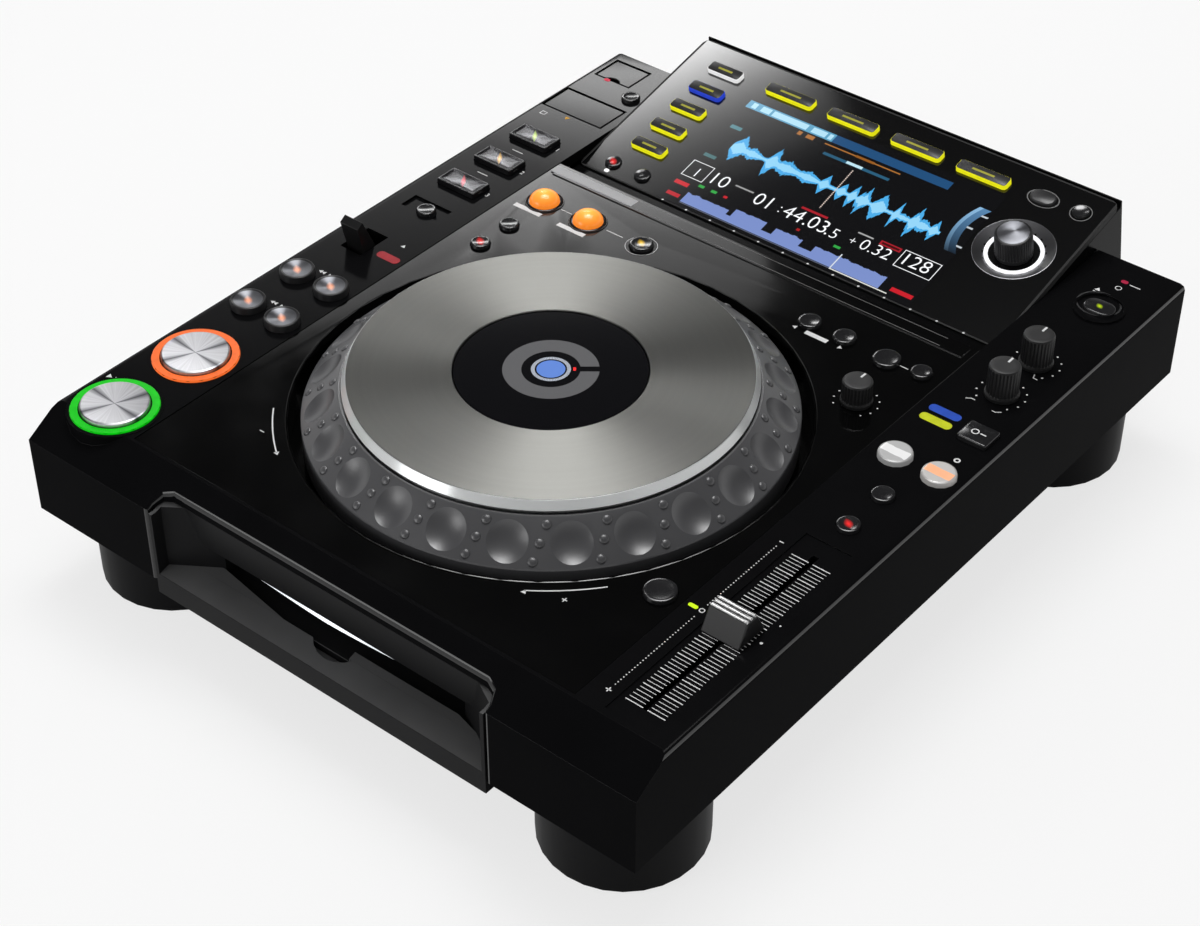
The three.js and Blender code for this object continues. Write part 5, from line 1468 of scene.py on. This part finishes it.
def mark(kind, x, y, a, b=0, turn=0, wide=1):
    """A flat mark: a bar a by b, a ring of radius a and width b, a dot or triangle of
    radius a, or the text b in letters a high. It is made so many times as wide."""
    bare()
    if kind == "text":
        made = lettered(b, a)
    elif kind == "bar":
        bpy.ops.mesh.primitive_plane_add(size=1)
        made = bpy.context.object
        made.data.transform(Matrix.Diagonal((a * MM, b * MM, 1, 1)))
    else:
        sides = {"ring": 32, "dot": 20, "triangle": 3}[kind]
        bpy.ops.mesh.primitive_circle_add(vertices=sides, radius=a * MM, fill_type="NGON")
        made = bpy.context.object
    if kind == "ring":
        edit(made)
        bpy.ops.mesh.inset(thickness=b * MM)
        bpy.ops.mesh.delete(type="FACE")
        leave()
    spin = Matrix.Rotation(math.radians(turn), 4, "Z") @ Matrix.Diagonal((wide, 1, 1, 1))
    made.data.transform(Matrix.Translation((x * MM, y * MM, 0)) @ spin)
    return made


def on_circle(at, r, degrees):
    turn = math.radians(degrees)
    return at[0] + r * math.cos(turn), at[1] + r * math.sin(turn)


def knob_scale(at, r, dot_r):
    """Eleven dots round a knob, from its lower left over the top to its lower right."""
    return [mark("dot", *on_circle(at, r, 225 - step * 27), dot_r) for step in range(11)]


def arc(at, r, start, end, wide):
    """A thin printed arc from one angle to another, counted from the right."""
    bare()
    bpy.ops.mesh.primitive_plane_add(size=1)
    made = bpy.context.object
    edit(made)
    pick("VERT", lambda spot, normal: spot.x > 0)
    bpy.ops.mesh.delete(type="VERT")
    leave()
    for point, side in zip(made.data.vertices, (-1, 1)):
        point.co = ((r + side * wide / 2) * MM, 0, 0)
    made.data.transform(Matrix.Rotation(math.radians(start), 4, "Z"))
    edit(made)
    pick_all()
    turn = math.radians(end - start)
    bpy.ops.mesh.spin(steps=24, angle=-turn, center=(0, 0, 0), axis=(0, 0, 1))
    leave()
    made.data.transform(Matrix.Translation((at[0] * MM, at[1] * MM, 0)))
    return made


def printed(name, skin, slot, level, marks, body="chassis", on_glass=False):
    """Joins flat marks, gives them the thickness of ink and lays them on a panel."""
    layer = joined(name, marks)
    edit(layer)
    pick_all()
    bpy.ops.mesh.extrude_region_move(TRANSFORM_OT_translate={"value": (0, 0, INK * MM)})
    pick_all()
    bpy.ops.mesh.normals_make_consistent(inside=False)
    leave()
    layer.data.transform(Matrix.Translation((0, 0, level * MM)))
    if on_glass:
        on_face(layer)
    dress(layer, skin, body, slot)


tray = []
for i in range(51):
    longer, thick = (0.7, 0.42) if i % 5 == 0 else (0, 0.26)
    tray += [mark("bar", x, -169.25 + i * 1.96, 7.1 + longer, thick) for x in TRAY_SIDES]
printed("tray_ticks", print_skin, "key_white", TRAY_TOP, tray)

film_skin = moulded("touch_film", FILM_GREY, 0.3, gloss=0.4, grain=0)
film = [mark("bar", -88.2, 74.75, 46.6, 5.6)]
printed("touch_strip_film", film_skin, "key_white", TOUCH_TOP, film)
dots = [mark("dot", -58 + i * 13.2, 85.95, 0.55) for i in range(13)]
edges = [mark("bar", 18, y, 160, 0.25) for y in (77.95, 71.75)]
dim_skin = moulded("grey_print", GREY_PRINT, 0.5, gloss=0.2, grain=0)
printed("touch_strip_lines", dim_skin, "key_white", TOUCH_TOP, edges)
printed("shelf_dots", print_skin, "key_white", DECK_TOP, dots)

strip = [mark("dot", SCALE_X, -166.75 + i * DOT_STEP, 0.28) for i in range(30)]
strip += [mark("dot", SCALE_X, -113.75 + i * DOT_STEP, 0.28) for i in range(28)]
strip += knob_scale((135, 60.25), 10.2, 0.42) + knob_scale((134.9, 86.75), 10.2, 0.42)
for x, y in ARROW_PAIRS:
    for along in (-3.4, -1.6, 1.6, 3.4):
        strip.append(mark("triangle", x + along, y, 1.2, 0, 90 if along < 0 else -90))
strip += [mark(*row) for row in STRIP_MARKS]
printed("strip_print", print_skin, "key_white", STRIP_TOP, strip)

deck = [mark(*row) for row in DECK_MARKS] + knob_scale((92.6, 19.75), 9.3, 0.38)
deck += [arc(JOG_AT, 110.6, 220, 235, 0.55), arc(JOG_AT, 109.8, 305, 321, 0.55)]
for turn, point, beside, sign in ((235, 235, 227.5, "−"), (305, 485, 312.5, "+")):
    deck.append(mark("triangle", *on_circle(JOG_AT, 110.6, turn), 1.3, 0, point))
    deck.append(mark("text", *on_circle(JOG_AT, 115, beside), 3.6, sign))
printed("deck_print", print_skin, "key_white", DECK_TOP, deck)

# Painted shade: black bars laid on the strip round each door, where its gap falls into shade.
gap_shade_skin = moulded("door_gap", GAP_PAINTED_SHADE, 0.6, gloss=0, grain=0)
for node in ("card_door", "usb_cover"):
    low, high = (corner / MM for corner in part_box(node))
    x, y = (low.x + high.x) / 2, (low.y + high.y) / 2
    wide, deep = high.x - low.x + 1.9, high.y - low.y + 1.2
    gap = [mark("bar", x, edge, wide, GAP_WIDE) for edge in (low.y - 0.5, high.y + 0.7)]
    gap += [mark("bar", edge, y, GAP_WIDE, deep) for edge in (low.x - 0.5, high.x + 0.5)]
    printed(node + "_gap", gap_shade_skin, "slot_black", STRIP_TOP - 0.02, gap)

orange_skin = moulded("orange_print", ARROW_ORANGE, 0.5, gloss=0.2, grain=0)
arrow = [mark("triangle", -134.8, 111.5, 1.5, 0, 180)]
printed("card_arrow", orange_skin, "key_yellow", STRIP_TOP, arrow)
surround_skin = moulded("surround_grey", SURROUND_GREY, 0.3, gloss=0.5, grain=0)
halo = [mark("ring", 133.2, 139, 8.9, 0.7, 0, 1.1)]
printed("eject_surround", surround_skin, "button_black", STRIP_TOP, halo)
halo = [mark("ring", *BACK_AT, 5.3, 0.35, 0, 1.45)]
printed("back_key_outline", dim_skin, "key_white", 0, halo, on_glass=True)
halo = [mark("ring", *TAG_AT, 5.0, 0.35)]
printed("tag_key_outline", dim_skin, "key_white", 0, halo, on_glass=True)
at, low, high = middle_of("jog_mode_button")
symbol = [mark("ring", at.x - 1.5, at.y, 1.7, 0.5), mark("bar", at.x + 2.2, at.y, 2.6, 0.6)]
printed("jog_mode_symbol", print_skin, "key_white", high, symbol, "jog_mode_button")

for name, (x, y, level, wide, deep, tint, slot) in LAMPS.items():
    round_by = min(wide, deep) * 0.45
    lens = slab(
        name, (x, y), wide, deep, level - 0.3, level + 0.12, corner=round_by, corner_steps=5
    )
    if name == "time_lamp":
        on_face(lens)
    dress(lens, glowing(name + "_glow", tint), "chassis", slot)
